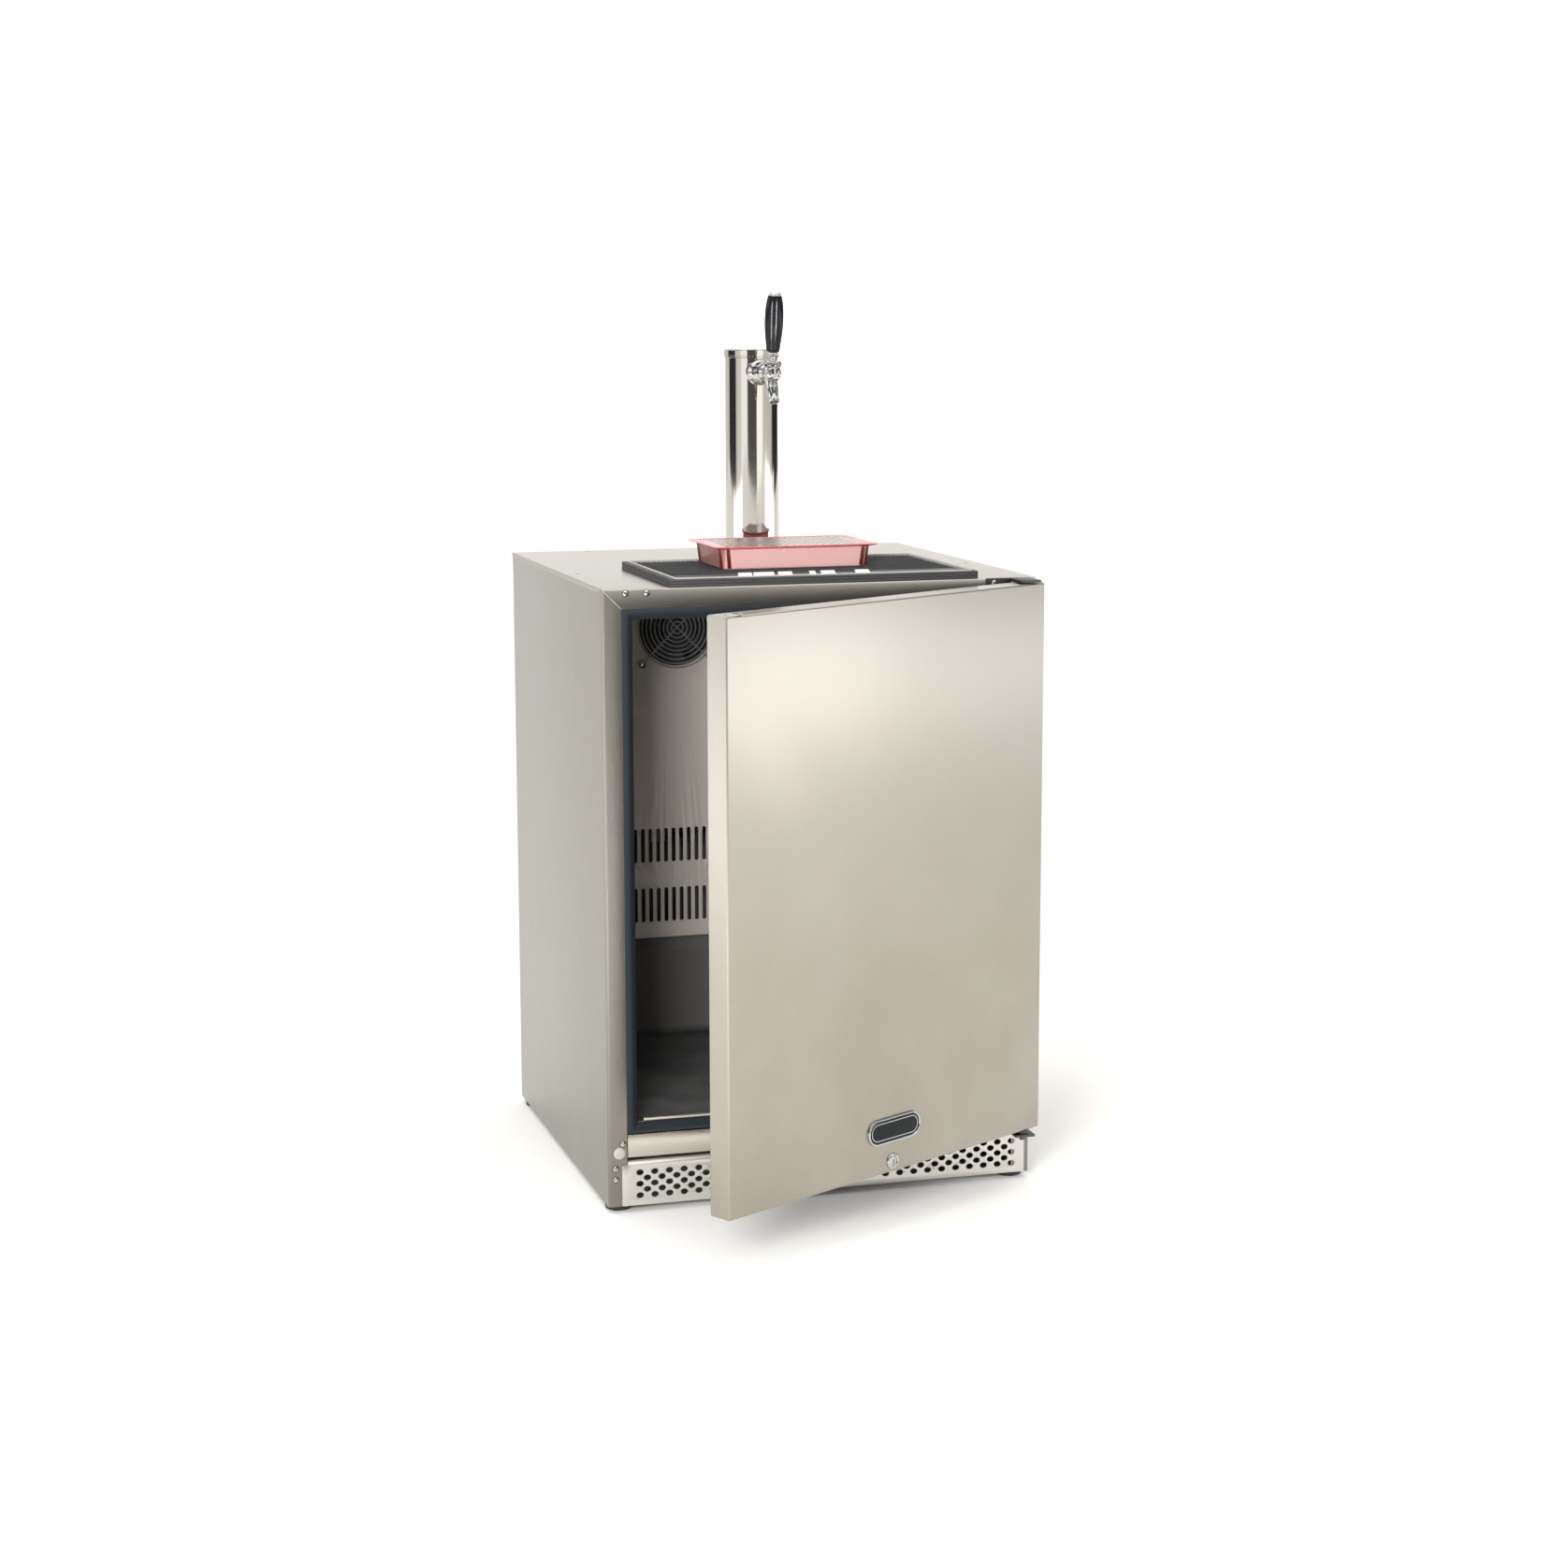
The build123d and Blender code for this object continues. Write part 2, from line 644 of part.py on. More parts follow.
def door_back_window(y0, y1):
    """Space inside the folded returns at the back of the door."""
    r = DOOR_RETURN
    return block(DOOR_X0 + r, DOOR_X1 - r, y0, y1, DOOR_Z0 + DOOR_BOTTOM_RETURN, DOOR_Z1 - r)


def door_skin():
    t = SHEET
    pan = block(DOOR_X0, DOOR_X1, DOOR_FRONT, DOOR_BACK, DOOR_Z0, DOOR_Z1)
    pan = fillet(pan.edges().group_by(Axis.Y)[0], 1.5)
    pan -= block(DOOR_X0 + t, DOOR_X1 - t, DOOR_FRONT + t, DOOR_BACK - t, DOOR_Z0 + t, DOOR_Z1 - t)
    pan -= door_back_window(DOOR_BACK - 2 * t, DOOR_BACK + t)
    pan -= rod_z(HINGE_X, HINGE_Y, DOOR_Z0 - 1, DOOR_Z1 + 1, BUSH_R)
    pan -= rod_z(DOOR_X0 + DOOR_X1 - HINGE_X, HINGE_Y, DOOR_Z1 - 2, DOOR_Z1 + 1, BUSH_R)
    pan -= rod_y(LOCK_X, LOCK_Z, DOOR_FRONT - 1, DOOR_BACK + 1, LOCK_BARREL_R)
    return door_at_rest(pan)


def door_dyke(grow):
    """Raised panel on the back of the door, grown outwards by grow."""
    x = DYKE_HALF_W + grow
    y1 = DOOR_BACK + DYKE_DEPTH + grow
    return block(-x, x, DOOR_BACK - 3, y1, DYKE_Z0 - grow, DYKE_Z1 + grow)


def door_liner():
    plate = door_back_window(DOOR_BACK - 2, DOOR_BACK)
    raised = door_dyke(0)
    raised = fillet(raised.edges().group_by(Axis.Y)[-1], 6)
    x = DYKE_HALF_W + 9
    raised -= block(-x, x, DOOR_BACK - 4, DOOR_BACK - 2, DYKE_Z0 - 9, DYKE_Z1 + 9)
    return door_at_rest(plate + raised - door_dyke(-2))


def door_foam():
    t = SHEET
    foam = block(DOOR_X0 + t, DOOR_X1 - t, DOOR_FRONT + t, DOOR_BACK - 2, DOOR_Z0 + t, DOOR_Z1 - t)
    foam += door_dyke(-2)
    for z0, z1 in ((DOOR_Z0 - 1, DOOR_Z0 + 20), (DOOR_Z1 - 20, DOOR_Z1 + 1)):
        foam -= hinge_hole(z0, z1)
    foam -= rod_z(DOOR_X0 + DOOR_X1 - HINGE_X, HINGE_Y, DOOR_Z1 - 12, DOOR_Z1 + 1, BUSH_R)
    foam -= rod_y(LOCK_X, LOCK_Z, DOOR_FRONT - 1, DOOR_BACK + 1, LOCK_BARREL_R)
    return door_at_rest(foam)


def door_gasket():
    x, w = GASKET_HALF_W, GASKET_W
    z0, z1 = FRAME_BOTTOM, OPEN_TOP + w + 1
    gasket = block(-x, x, DOOR_BACK, DOOR_BACK + GASKET_T, z0, z1)
    gasket -= block(-x + w, x - w, DOOR_BACK - 1, DOOR_BACK + GASKET_T + 1, z0 + 13, z1 - w)
    return door_at_rest(gasket)


def door_bushings():
    low = ring_z(HINGE_X, HINGE_Y, DOOR_Z0, DOOR_Z0 + BUSH_L, BUSH_R, PIN_R + PIN_CLEARANCE)
    high = ring_z(HINGE_X, HINGE_Y, DOOR_Z1 - BUSH_L, DOOR_Z1, BUSH_R, PIN_R + PIN_CLEARANCE)
    return Compound(children=[door_at_rest(low), door_at_rest(high)])


def door_plug():
    x = DOOR_X0 + DOOR_X1 - HINGE_X
    head = rod_z(x, HINGE_Y, DOOR_Z1, DOOR_Z1 + 2.4, DOOR_PLUG_R)
    head = fillet(head.edges().sort_by(Axis.Z)[-1], 1.8)
    return door_at_rest(head + rod_z(x, HINGE_Y, DOOR_Z1 - 10, DOOR_Z1, BUSH_R))


def door_badge():
    plate = Pos(BADGE_X, BADGE_Z) * SlotOverall(BADGE_L, BADGE_H)
    field = Pos(BADGE_X, BADGE_Z) * SlotOverall(BADGE_L - 7, BADGE_H - 7)
    badge = plate_y(plate, DOOR_FRONT - BADGE_T, DOOR_FRONT)
    badge -= plate_y(field, DOOR_FRONT - BADGE_T - 1, DOOR_FRONT - BADGE_T + 1)
    return door_at_rest(badge)


def lock_body():
    face = rod_y(LOCK_X, LOCK_Z, DOOR_FRONT - 2.5, DOOR_FRONT, 11)
    face = fillet(face.edges().sort_by(Axis.Y)[0], 1.2)
    body = face + rod_y(LOCK_X, LOCK_Z, DOOR_FRONT, DOOR_BACK + 4, LOCK_BARREL_R)
    nut = Plane((LOCK_X, DOOR_BACK, LOCK_Z), x_dir=(1, 0, 0), z_dir=(0, 1, 0)) * RegularPolygon(12, 6)
    body += extrude(nut, 4)
    body -= rod_y(LOCK_X, LOCK_Z, DOOR_FRONT - 4, DOOR_BACK + 6, LOCK_PLUG_R + 0.06)
    return door_at_rest(body)


def lock_cylinder():
    """Key plug with its quarter-turn cam; unlocked, the cam lies level."""
    back = DOOR_BACK + 4.4
    plug = rod_y(LOCK_X, LOCK_Z, DOOR_FRONT - 2, back, LOCK_PLUG_R)
    plug -= block(LOCK_X - 0.6, LOCK_X + 0.6, DOOR_FRONT - 3, DOOR_FRONT + 9, LOCK_Z - 3.6, LOCK_Z + 3.6)
    cam = block(LOCK_X - 7, LOCK_X + CAM_L, back, back + 2, LOCK_Z - 4.5, LOCK_Z + 4.5)
    cam = fillet(cam.edges().filter_by(Axis.Y), 4)
    screw = rod_y(LOCK_X, LOCK_Z, back + 2, back + 4, 4)
    return door_at_rest(plug + cam + screw)


def lock_catch():
    """Keeper on the bottom rail: the cam turns down behind its lip."""
    z0, z1 = 76.5, 82.5
    lip = block(-12, 8, -10, -8.4, z0, z1)
    arm = block(-12, -10.4, -10, 0, z0, z1)
    foot = block(-26, -10.4, -1.6, 0, z0, z1 + 8)
    return lip + arm + foot


def hinge_top():
    leg = block(228, 286, -2, 0, 822, CAB_TOP)
    leaf = block(HINGE_X - 14, HINGE_X + 14, -46, 0, DOOR_Z1 + 1.2, CAB_TOP)
    pin = rod_z(HINGE_X, HINGE_Y, DOOR_Z1 - BUSH_L + 1, CAB_TOP, PIN_R)
    return leg + leaf + pin


def hinge_bottom():
    z0, z1 = 71.6, 75.0
    leaf = block(HINGE_X - 14, HINGE_X + 14, -46, 0, z0, z1)
    tongue = block(HINGE_X - 14, RAIL_HALF_W - 0.5, 0, 44, z0, z1)
    shoulder = rod_z(HINGE_X, HINGE_Y, z1, DOOR_Z0 - 0.3, 7)
    pin = rod_z(HINGE_X, HINGE_Y, z0 - 6, DOOR_Z0 + BUSH_L - 1, PIN_R)
    return leaf + tongue + shoulder + pin


# ---------------------------------------------------------------- draft tower
def tower_gasket():
    z0 = CAB_TOP
    gasket = ring_z(0, TOWER_Y, z0, z0 + TOWER_GASKET_T, TOWER_FLANGE_R, DUCT_R + 3)
    return gasket - screw_holes(z0, z0 + TOWER_GASKET_T)


def screw_holes(z0, z1):
    return [rod_z(x, y, z0 - 1, z1 + 1, 2) for x, y in tower_screw_places()]


def tower_flange():
    z0 = CAB_TOP + TOWER_GASKET_T
    z1 = z0 + TOWER_FLANGE_T
    flange = ring_z(0, TOWER_Y, z0, z1, TOWER_FLANGE_R, DUCT_R + 3)
    flange = fillet(flange.edges().group_by(Axis.Z)[-1].sort_by(SortBy.LENGTH)[-1], 1.5)
    collar = ring_z(0, TOWER_Y, z1, z1 + 12, TUBE_R + 2.6, TUBE_R)
    return flange + collar - screw_holes(z0, z1)


def tower_tube():
    z0 = CAB_TOP + TOWER_GASKET_T + TOWER_FLANGE_T
    tube = ring_z(0, TOWER_Y, z0, CAP_SEAM_Z - 0.3, TUBE_R, TUBE_R - TUBE_T)
    return tube - rod_y(0, FAUCET_Z, TOWER_Y - TUBE_R - 2, TOWER_Y, SHANK_R)


def tower_cap():
    cap = rod_z(0, TOWER_Y, CAP_SEAM_Z, CAP_TOP_Z, TUBE_R + 0.5)
    cap = fillet(cap.edges().sort_by(Axis.Z)[-1], 2.5)
    plug = rod_z(0, TOWER_Y, CAP_SEAM_Z - 6, CAP_SEAM_Z, TUBE_R - TUBE_T - 0.3)
    return cap + plug - rod_z(0, TOWER_Y, CAP_SEAM_Z - 7, CAP_TOP_Z - 2, TUBE_R - TUBE_T - 2.5)


def faucet_shank():
    """Threaded shank through the tower wall, with the hex nut that clamps it from inside."""
    shank = rod_y(0, FAUCET_Z, 276, 352, SHANK_R)
    nut_face = Plane((0, 312.6, FAUCET_Z), x_dir=(1, 0, 0), z_dir=(0, 1, 0)) * RegularPolygon(15.5, 6)
    shank += extrude(nut_face, 9)
    return shank - rod_y(0, FAUCET_Z, 270, 360, 5)


def shank_flange():
    flange = rod_y(0, FAUCET_Z, 294, 316, 18)
    flange = chamfer(flange.edges().sort_by(Axis.Y)[0], 4)
    flange -= rod_z(0, TOWER_Y, FAUCET_Z - 30, FAUCET_Z + 30, TUBE_R + 0.3)
    return flange - rod_y(0, FAUCET_Z, 280, 320, SHANK_R)


def coupling_nut():
    nut = rod_y(0, FAUCET_Z, 265.5, 292, 15.5)
    nut = chamfer(nut.edges(), 1.5)
    nut -= rod_y(0, FAUCET_Z, 267.5, 276, 13)
    nut -= rod_y(0, FAUCET_Z, 276, 300, SHANK_R)
    nut -= rod_y(0, FAUCET_Z, 260, 270, BARREL_R)
    notch = Pos(15.5, 0, 0) * Rot(90, 0, 0) * Cylinder(2.2, 10)
    for angle in range(0, 360, 60):
        nut -= Pos(0, 279, FAUCET_Z) * Rot(0, angle, 0) * notch
    return nut


def spout_plane(fraction):
    """Plane across the spout at a fraction of its length, looking down the spout."""
    top, tip = Vector(*SPOUT_TOP), Vector(*SPOUT_END)
    run = tip - top
    return Plane(origin=top + run * fraction, x_dir=(1, 0, 0), z_dir=run.normalized())


def spout():
    length = (Vector(*SPOUT_END) - Vector(*SPOUT_TOP)).length
    return spout_plane(0.5) * Cone(SPOUT_R, SPOUT_TIP_R, length)


def spout_bore():
    length = (Vector(*SPOUT_END) - Vector(*SPOUT_TOP)).length
    return spout_plane(0.6) * Cylinder(SPOUT_BORE_R, length)


def faucet_body():
    z = FAUCET_Z
    barrel = rod_y(0, z, 226, 275, BARREL_R)
    barrel = fillet(barrel.edges().sort_by(Axis.Y)[0], 6)
    tail = rod_y(0, z, 268, 275, 12.8)
    boss = rod_z(0, LEVER_Y, z, BONNET_Z0, 12)
    body = barrel + tail + boss + spout()
    body -= rod_y(0, z, 230, 280, SHAFT_BORE_R)
    body -= rod_z(0, LEVER_Y, z, BALL_Z + 5, BALL_R + 0.35)
    body -= block(-3.2, 3.2, LEVER_Y, LEVER_Y + 13, z, BONNET_Z0 - 1.5)
    return body - spout_bore()


def valve_shaft():
    z = FAUCET_Z
    return rod_y(0, z, 231, 266, SHAFT_R) - block(-8, 8, 234.2, 244.6, z - 3, z + 8)


def lever_bonnet():
    bonnet = ring_z(0, LEVER_Y, BONNET_Z0, BALL_Z + 2.3, 13, BALL_R + 0.35)
    return chamfer(bonnet.edges().group_by(Axis.Z)[-1], 1.2)


def lever_tilt(shape):
    """Tip a lever piece about the ball to its rest lean."""
    return Pos(0, LEVER_Y, BALL_Z) * Rot(LEVER_LEAN_DEG, 0, 0) * shape


def lever():
    ball = Sphere(BALL_R)
    stem = Pos(0, 0, 13) * Cylinder(3.5, 26)
    tip = Pos(0, 0, -10) * Cylinder(2, 9)
    foot = Pos(0, 0, -LEVER_ARM) * Sphere(2.4)
    ferrule = Pos(0, 0, 12.4) * Cylinder(7, 6)
    return lever_tilt(ball + stem + tip + foot + ferrule)


def tap_handle():
    h = HANDLE_H
    outline = [(9.3, 0), (11.6, 0.2 * h), (13.2, 0.48 * h), (12.6, 0.74 * h), (9.2, 0.93 * h), (0, h)]
    side = Spline(*outline, tangents=[(0.18, 1), (-1, 0)])
    axis = Polyline((0, h), (0, 0), (9.3, 0))
    solid = revolve(Plane.XZ * make_face(axis + side), Axis.Z)
    solid -= Pos(0, 0, 5.5) * Cylinder(3.55, 12)
    return lever_tilt(Pos(0, 0, HANDLE_BASE) * solid)


# ---------------------------------------------------------------- serving set
def bar_mat():
    z0 = CAB_TOP
    y_mid = MAT_Y0 + MAT_D / 2
    mat = rounded_plate(MAT_X, y_mid, MAT_W, MAT_D, z0, z0 + MAT_H, 3)
    w, d = MAT_W - 2 * MAT_BORDER, MAT_D - 2 * MAT_BORDER
    mat -= rounded_plate(MAT_X, y_mid, w, d, z0 + 4.5, z0 + MAT_H + 1, 2)
    ribs = 25
    for i in range(ribs):
        y = y_mid + (i - (ribs - 1) / 2) * (d - 10) / (ribs - 1)
        mat += block(MAT_X - w / 2 + 4, MAT_X + w / 2 - 4, y - 1.5, y + 1.5, z0 + 4, z0 + MAT_H - 1)
    return mat


def drip_tray():
    z0, z1 = TRAY_Z0, TRAY_Z0 + TRAY_H
    w, d, t = TRAY_W - 10, TRAY_D - 10, TRAY_WALL
    low = Pos(0, TRAY_Y, z0) * RectangleRounded(w - 10, d - 10, 12)
    high = Pos(0, TRAY_Y, z1) * RectangleRounded(w, d, 12)
    tray = loft([low.face(), high.face()])
    tray = tray + rounded_plate(0, TRAY_Y, TRAY_W, TRAY_D, z1 - 3, z1, 14)
    low_in = Pos(0, TRAY_Y, z0 + t) * RectangleRounded(w - 10 - 2 * t, d - 10 - 2 * t, 10)
    high_in = Pos(0, TRAY_Y, z1 + 0.1) * RectangleRounded(w - 2 * t - 8, d - 2 * t - 8, 10)
    tray -= loft([low_in.face(), high_in.face()])
    return tray - rounded_plate(0, TRAY_Y, GRID_W + 1.2, GRID_D + 1.2, z1 - GRID_T - 1.0, z1 + 1, 9.6)


def drip_grid():
    z1 = TRAY_Z0 + TRAY_H - 0.6
    pitch = 10.5
    holes = []
    for row in range(-6, 7):
        shift = pitch / 2 if row % 2 else 0
        count = 9
        for column in range(-count, count + (0 if row % 2 else 1)):
            x, y = column * pitch + shift, row * pitch * 0.866
            if abs(x) < GRID_W / 2 - 7 and abs(y) < GRID_D / 2 - 7:
                holes.append(Pos(x, y) * Circle(3.6))
    sheet = RectangleRounded(GRID_W, GRID_D, 9) - holes
    return Pos(0, TRAY_Y, z1 - GRID_T) * extrude(sheet, GRID_T)


# ---------------------------------------------------------------- export
PARTS = [
    side_panel_left, side_panel_right, top_panel, back_panel, machine_cover, base_pan,
    bottom_rail, kick_grille, front_frame, sill_strip, inner_liner, cabinet_foam,
    tower_sleeve, hole_plug, cabinet_screws,
    evaporator_cover, fan_guard, evap_fan_frame, evap_fan_rotor, evaporator_coil,
    compressor, compressor_grommets, condenser_coil, condenser_fan_frame, condenser_fan_rotor,
    refrigerant_lines, thermostat_box, thermostat_knob, power_gland,
    door_skin, door_foam, door_liner, door_gasket, door_bushings, door_plug, door_badge,
    lock_body, lock_cylinder, lock_catch, hinge_top, hinge_bottom,
    tower_gasket, tower_flange, tower_tube, tower_cap, faucet_shank, shank_flange, coupling_nut,
    faucet_body, valve_shaft, lever_bonnet, lever, tap_handle,
    bar_mat, drip_tray, drip_grid,
]
FEET = ["foot_front_left", "foot_front_right", "foot_rear_left", "foot_rear_right"]

os.makedirs("parts", exist_ok=True)
for make in PARTS:
    export_step(make(), f"parts/{make.__name__}.step")
for index, foot_name in enumerate(FEET):
    export_step(levelling_foot(index), f"parts/{foot_name}.step")
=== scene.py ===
import math

import bmesh
import bpy
from mathutils import Matrix, Vector


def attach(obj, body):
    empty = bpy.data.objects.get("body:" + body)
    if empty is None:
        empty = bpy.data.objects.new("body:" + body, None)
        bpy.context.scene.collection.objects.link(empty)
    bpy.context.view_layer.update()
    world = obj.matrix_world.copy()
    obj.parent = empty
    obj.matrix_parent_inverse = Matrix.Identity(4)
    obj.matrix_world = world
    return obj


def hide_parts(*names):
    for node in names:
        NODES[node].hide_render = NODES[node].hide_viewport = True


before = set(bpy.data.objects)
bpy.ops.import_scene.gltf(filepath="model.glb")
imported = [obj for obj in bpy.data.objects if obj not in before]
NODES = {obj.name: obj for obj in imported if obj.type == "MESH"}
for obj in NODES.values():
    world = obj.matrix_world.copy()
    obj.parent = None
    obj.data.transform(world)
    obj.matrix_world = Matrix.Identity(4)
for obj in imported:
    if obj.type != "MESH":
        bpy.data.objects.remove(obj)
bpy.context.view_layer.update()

MM = 0.001
DOOR_ANGLE = math.radians(29.3)
HINGE = Vector((0.276, -0.034, 0.0))


def put(name, data):
    """A new object in the scene."""
    obj = bpy.data.objects.new(name, data)
    bpy.context.scene.collection.objects.link(obj)
    return obj


# ---------------------------------------------------------------- shader helpers
def shade(color, factor):
    return tuple(min(1.0, c * factor) for c in color)


def opaque(color):
    return (*color, 1.0)


class Shader:
    """One Principled material and the textures that drive it."""

    def __init__(self, name, color, roughness, metallic=0.0, **sockets):
        self.mat = bpy.data.materials.new(name)
        self.mat.use_nodes = True
        self.tree = self.mat.node_tree
        self.bsdf = self.tree.nodes["Principled BSDF"]
        self.bsdf.inputs["Base Color"].default_value = opaque(color)
        self.bsdf.inputs["Roughness"].default_value = roughness
        self.bsdf.inputs["Metallic"].default_value = metallic
        for key, value in sockets.items():
            self.bsdf.inputs[key.replace("_", " ")].default_value = value
        self.coords = self.tree.nodes.new("ShaderNodeTexCoord").outputs["Object"]

    def node(self, kind, **inputs):
        made = self.tree.nodes.new(kind)
        for key, value in inputs.items():
            made.inputs[key.replace("_", " ")].default_value = value
        return made

    def link(self, a, b):
        self.tree.links.new(a, b)

    def mapped(self, scale, turn=0.0):
        mapping = self.node("ShaderNodeMapping", Rotation=(0, 0, turn), Scale=scale)
        self.link(self.coords, mapping.inputs["Vector"])
        return mapping.outputs["Vector"]

    def noise(self, scale=(1, 1, 1), size=10.0, detail=4.0, turn=0.0, rough=0.55):
        """Noise with size features per metre, stretched by scale and turned about Z."""
        tex = self.node("ShaderNodeTexNoise", Scale=size, Detail=detail, Roughness=rough)
        self.link(self.mapped(scale, turn), tex.inputs["Vector"])
        return tex.outputs["Fac"]

    def cells(self, size):
        tex = self.node("ShaderNodeTexVoronoi", Scale=size)
        self.link(self.mapped((1, 1, 1)), tex.inputs["Vector"])
        return tex.outputs["Distance"]

    def axis(self, index):
        """Distance along X, Y or Z in metres."""
        split = self.node("ShaderNodeSeparateXYZ")
        self.link(self.coords, split.inputs["Vector"])
        return split.outputs[index]

    def away(self, index):
        """Distance from the middle plane along X, Y or Z in metres."""
        made = self.tree.nodes.new("ShaderNodeMath")
        made.operation = "ABSOLUTE"
        self.link(self.axis(index), made.inputs[0])
        return made.outputs[0]

    def edges(self):
        """High on convex edges, low in hollows."""
        return self.node("ShaderNodeNewGeometry").outputs["Pointiness"]

    def span(self, value, low, high, from_low=0.3, from_high=0.7):
        made = self.node("ShaderNodeMapRange", From_Min=from_low, From_Max=from_high, To_Min=low, To_Max=high)
        self.link(value, made.inputs["Value"])
        return made.outputs["Result"]

    def tint(self, value, other, amount=1.0, from_low=0.3, from_high=0.7):
        """Mixes the base colour towards other where value is high."""
        mix = self.tree.nodes.new("ShaderNodeMix")
        mix.data_type = "RGBA"
        first, second = [s for s in mix.inputs if s.type == "RGBA"]
        source = self.bsdf.inputs["Base Color"]
        if source.is_linked:
            self.link(source.links[0].from_socket, first)
        else:
            first.default_value = source.default_value
        second.default_value = opaque(other)
        self.link(self.span(value, 0, amount, from_low, from_high), mix.inputs["Factor"])
        self.link([s for s in mix.outputs if s.type == "RGBA"][0], source)
        return self

    def roughen(self, value, low, high, from_low=0.3, from_high=0.7):
        self.link(self.span(value, low, high, from_low, from_high), self.bsdf.inputs["Roughness"])
        return self

    def bump(self, value, strength=0.1, distance=0.0005):
        made = self.node("ShaderNodeBump", Strength=strength, Distance=distance)
        self.link(value, made.inputs["Height"])
        normal = self.bsdf.inputs["Normal"]
        if normal.is_linked:
            self.link(normal.links[0].from_socket, made.inputs["Normal"])
        self.link(made.outputs["Normal"], normal)
        return self


# ---------------------------------------------------------------- materials
def brushed(name, color, rough=(0.26, 0.32), grain=(12, 2600, 2600), turn=0.0, depth=0.015, wave=0.0,
        metallic=1.0,
            painted_shade=None):
    """Brushed stainless: fine grain along one axis, cloudy smudges, and a slight oil-can waviness; painted_shade
    (colour, upper and lower height in metres) paints shade that darkens it towards the bottom.
    """
    s = Shader(name, color, rough[0], metallic)
    # painted shade: the base colour is tinted darker going down from the upper to the lower height
    if painted_shade:
        s.tint(s.axis(2), painted_shade[0], 1.0, painted_shade[1], painted_shade[2])
    streak = s.noise(grain, 1.0, 3.0, turn)
    cloud = s.noise((1, 1, 1), 4.0, 3.0, turn)
    s.tint(streak, shade(color, 0.92), 0.4)
    s.tint(cloud, shade(color, 0.95), 0.6)
    s.roughen(streak, rough[0], rough[1])
    s.bump(streak, depth, 0.0002)
    if wave:
        s.bump(s.noise((1, 1, 0.6), 2.2, 1.0, turn), 1.0, wave)
    return s.mat


def polished(name, color, rough=(0.04, 0.09)):
    """Plated or polished metal with faint wipe marks."""
    s = Shader(name, color, rough[0], 1.0)
    s.tint(s.noise((1, 1, 1), 30.0, 3.0), shade(color, 0.95), 0.5)
    s.roughen(s.noise((1, 1, 1), 70.0, 4.0), rough[0], rough[1])
    s.bump(s.noise((1, 1, 1), 400.0, 2.0), 0.01, 0.0001)
    return s.mat


def plastic(name, color, rough, grain=1800.0, bump=0.08, lift=1.35, painted_shade=None, **sockets):
    """Moulded plastic or rubber with a fine surface grain and scuffed, lighter edges; painted_shade (colour, upper
    and lower height in metres) paints shade that darkens it towards the bottom.
    """
    s = Shader(name, color, rough, 0.0, **sockets)
    # painted shade: the base colour is tinted darker going down from the upper to the lower height
    if painted_shade:
        s.tint(s.axis(2), painted_shade[0], 1.0, painted_shade[1], painted_shade[2])
    cloud = s.noise((1, 1, 1), 12.0, 3.0)
    s.tint(cloud, shade(color, lift), 0.5)
    s.tint(s.edges(), shade(color, lift * 1.3), 0.6, 0.51, 0.60)
    s.roughen(cloud, rough - 0.06, rough + 0.08)
    s.bump(s.noise((1, 1, 1), grain, 2.0), bump, 0.0002)
    return s.mat


def cast(name, color, rough, metallic, size=300.0, bump=0.15, fleck=0.9):
    """Zinc plating, paint or foam with a visible grain and flecks."""
    s = Shader(name, color, rough, metallic)
    cell = s.cells(size * 0.4)
    s.tint(cell, shade(color, fleck), 0.8, 0.1, 0.6)
    s.roughen(s.noise((1, 1, 1), 20.0, 3.0), rough - 0.08, rough + 0.08)
    s.bump(s.noise((1, 1, 1), size, 4.0), bump, 0.0003)
    return s.mat


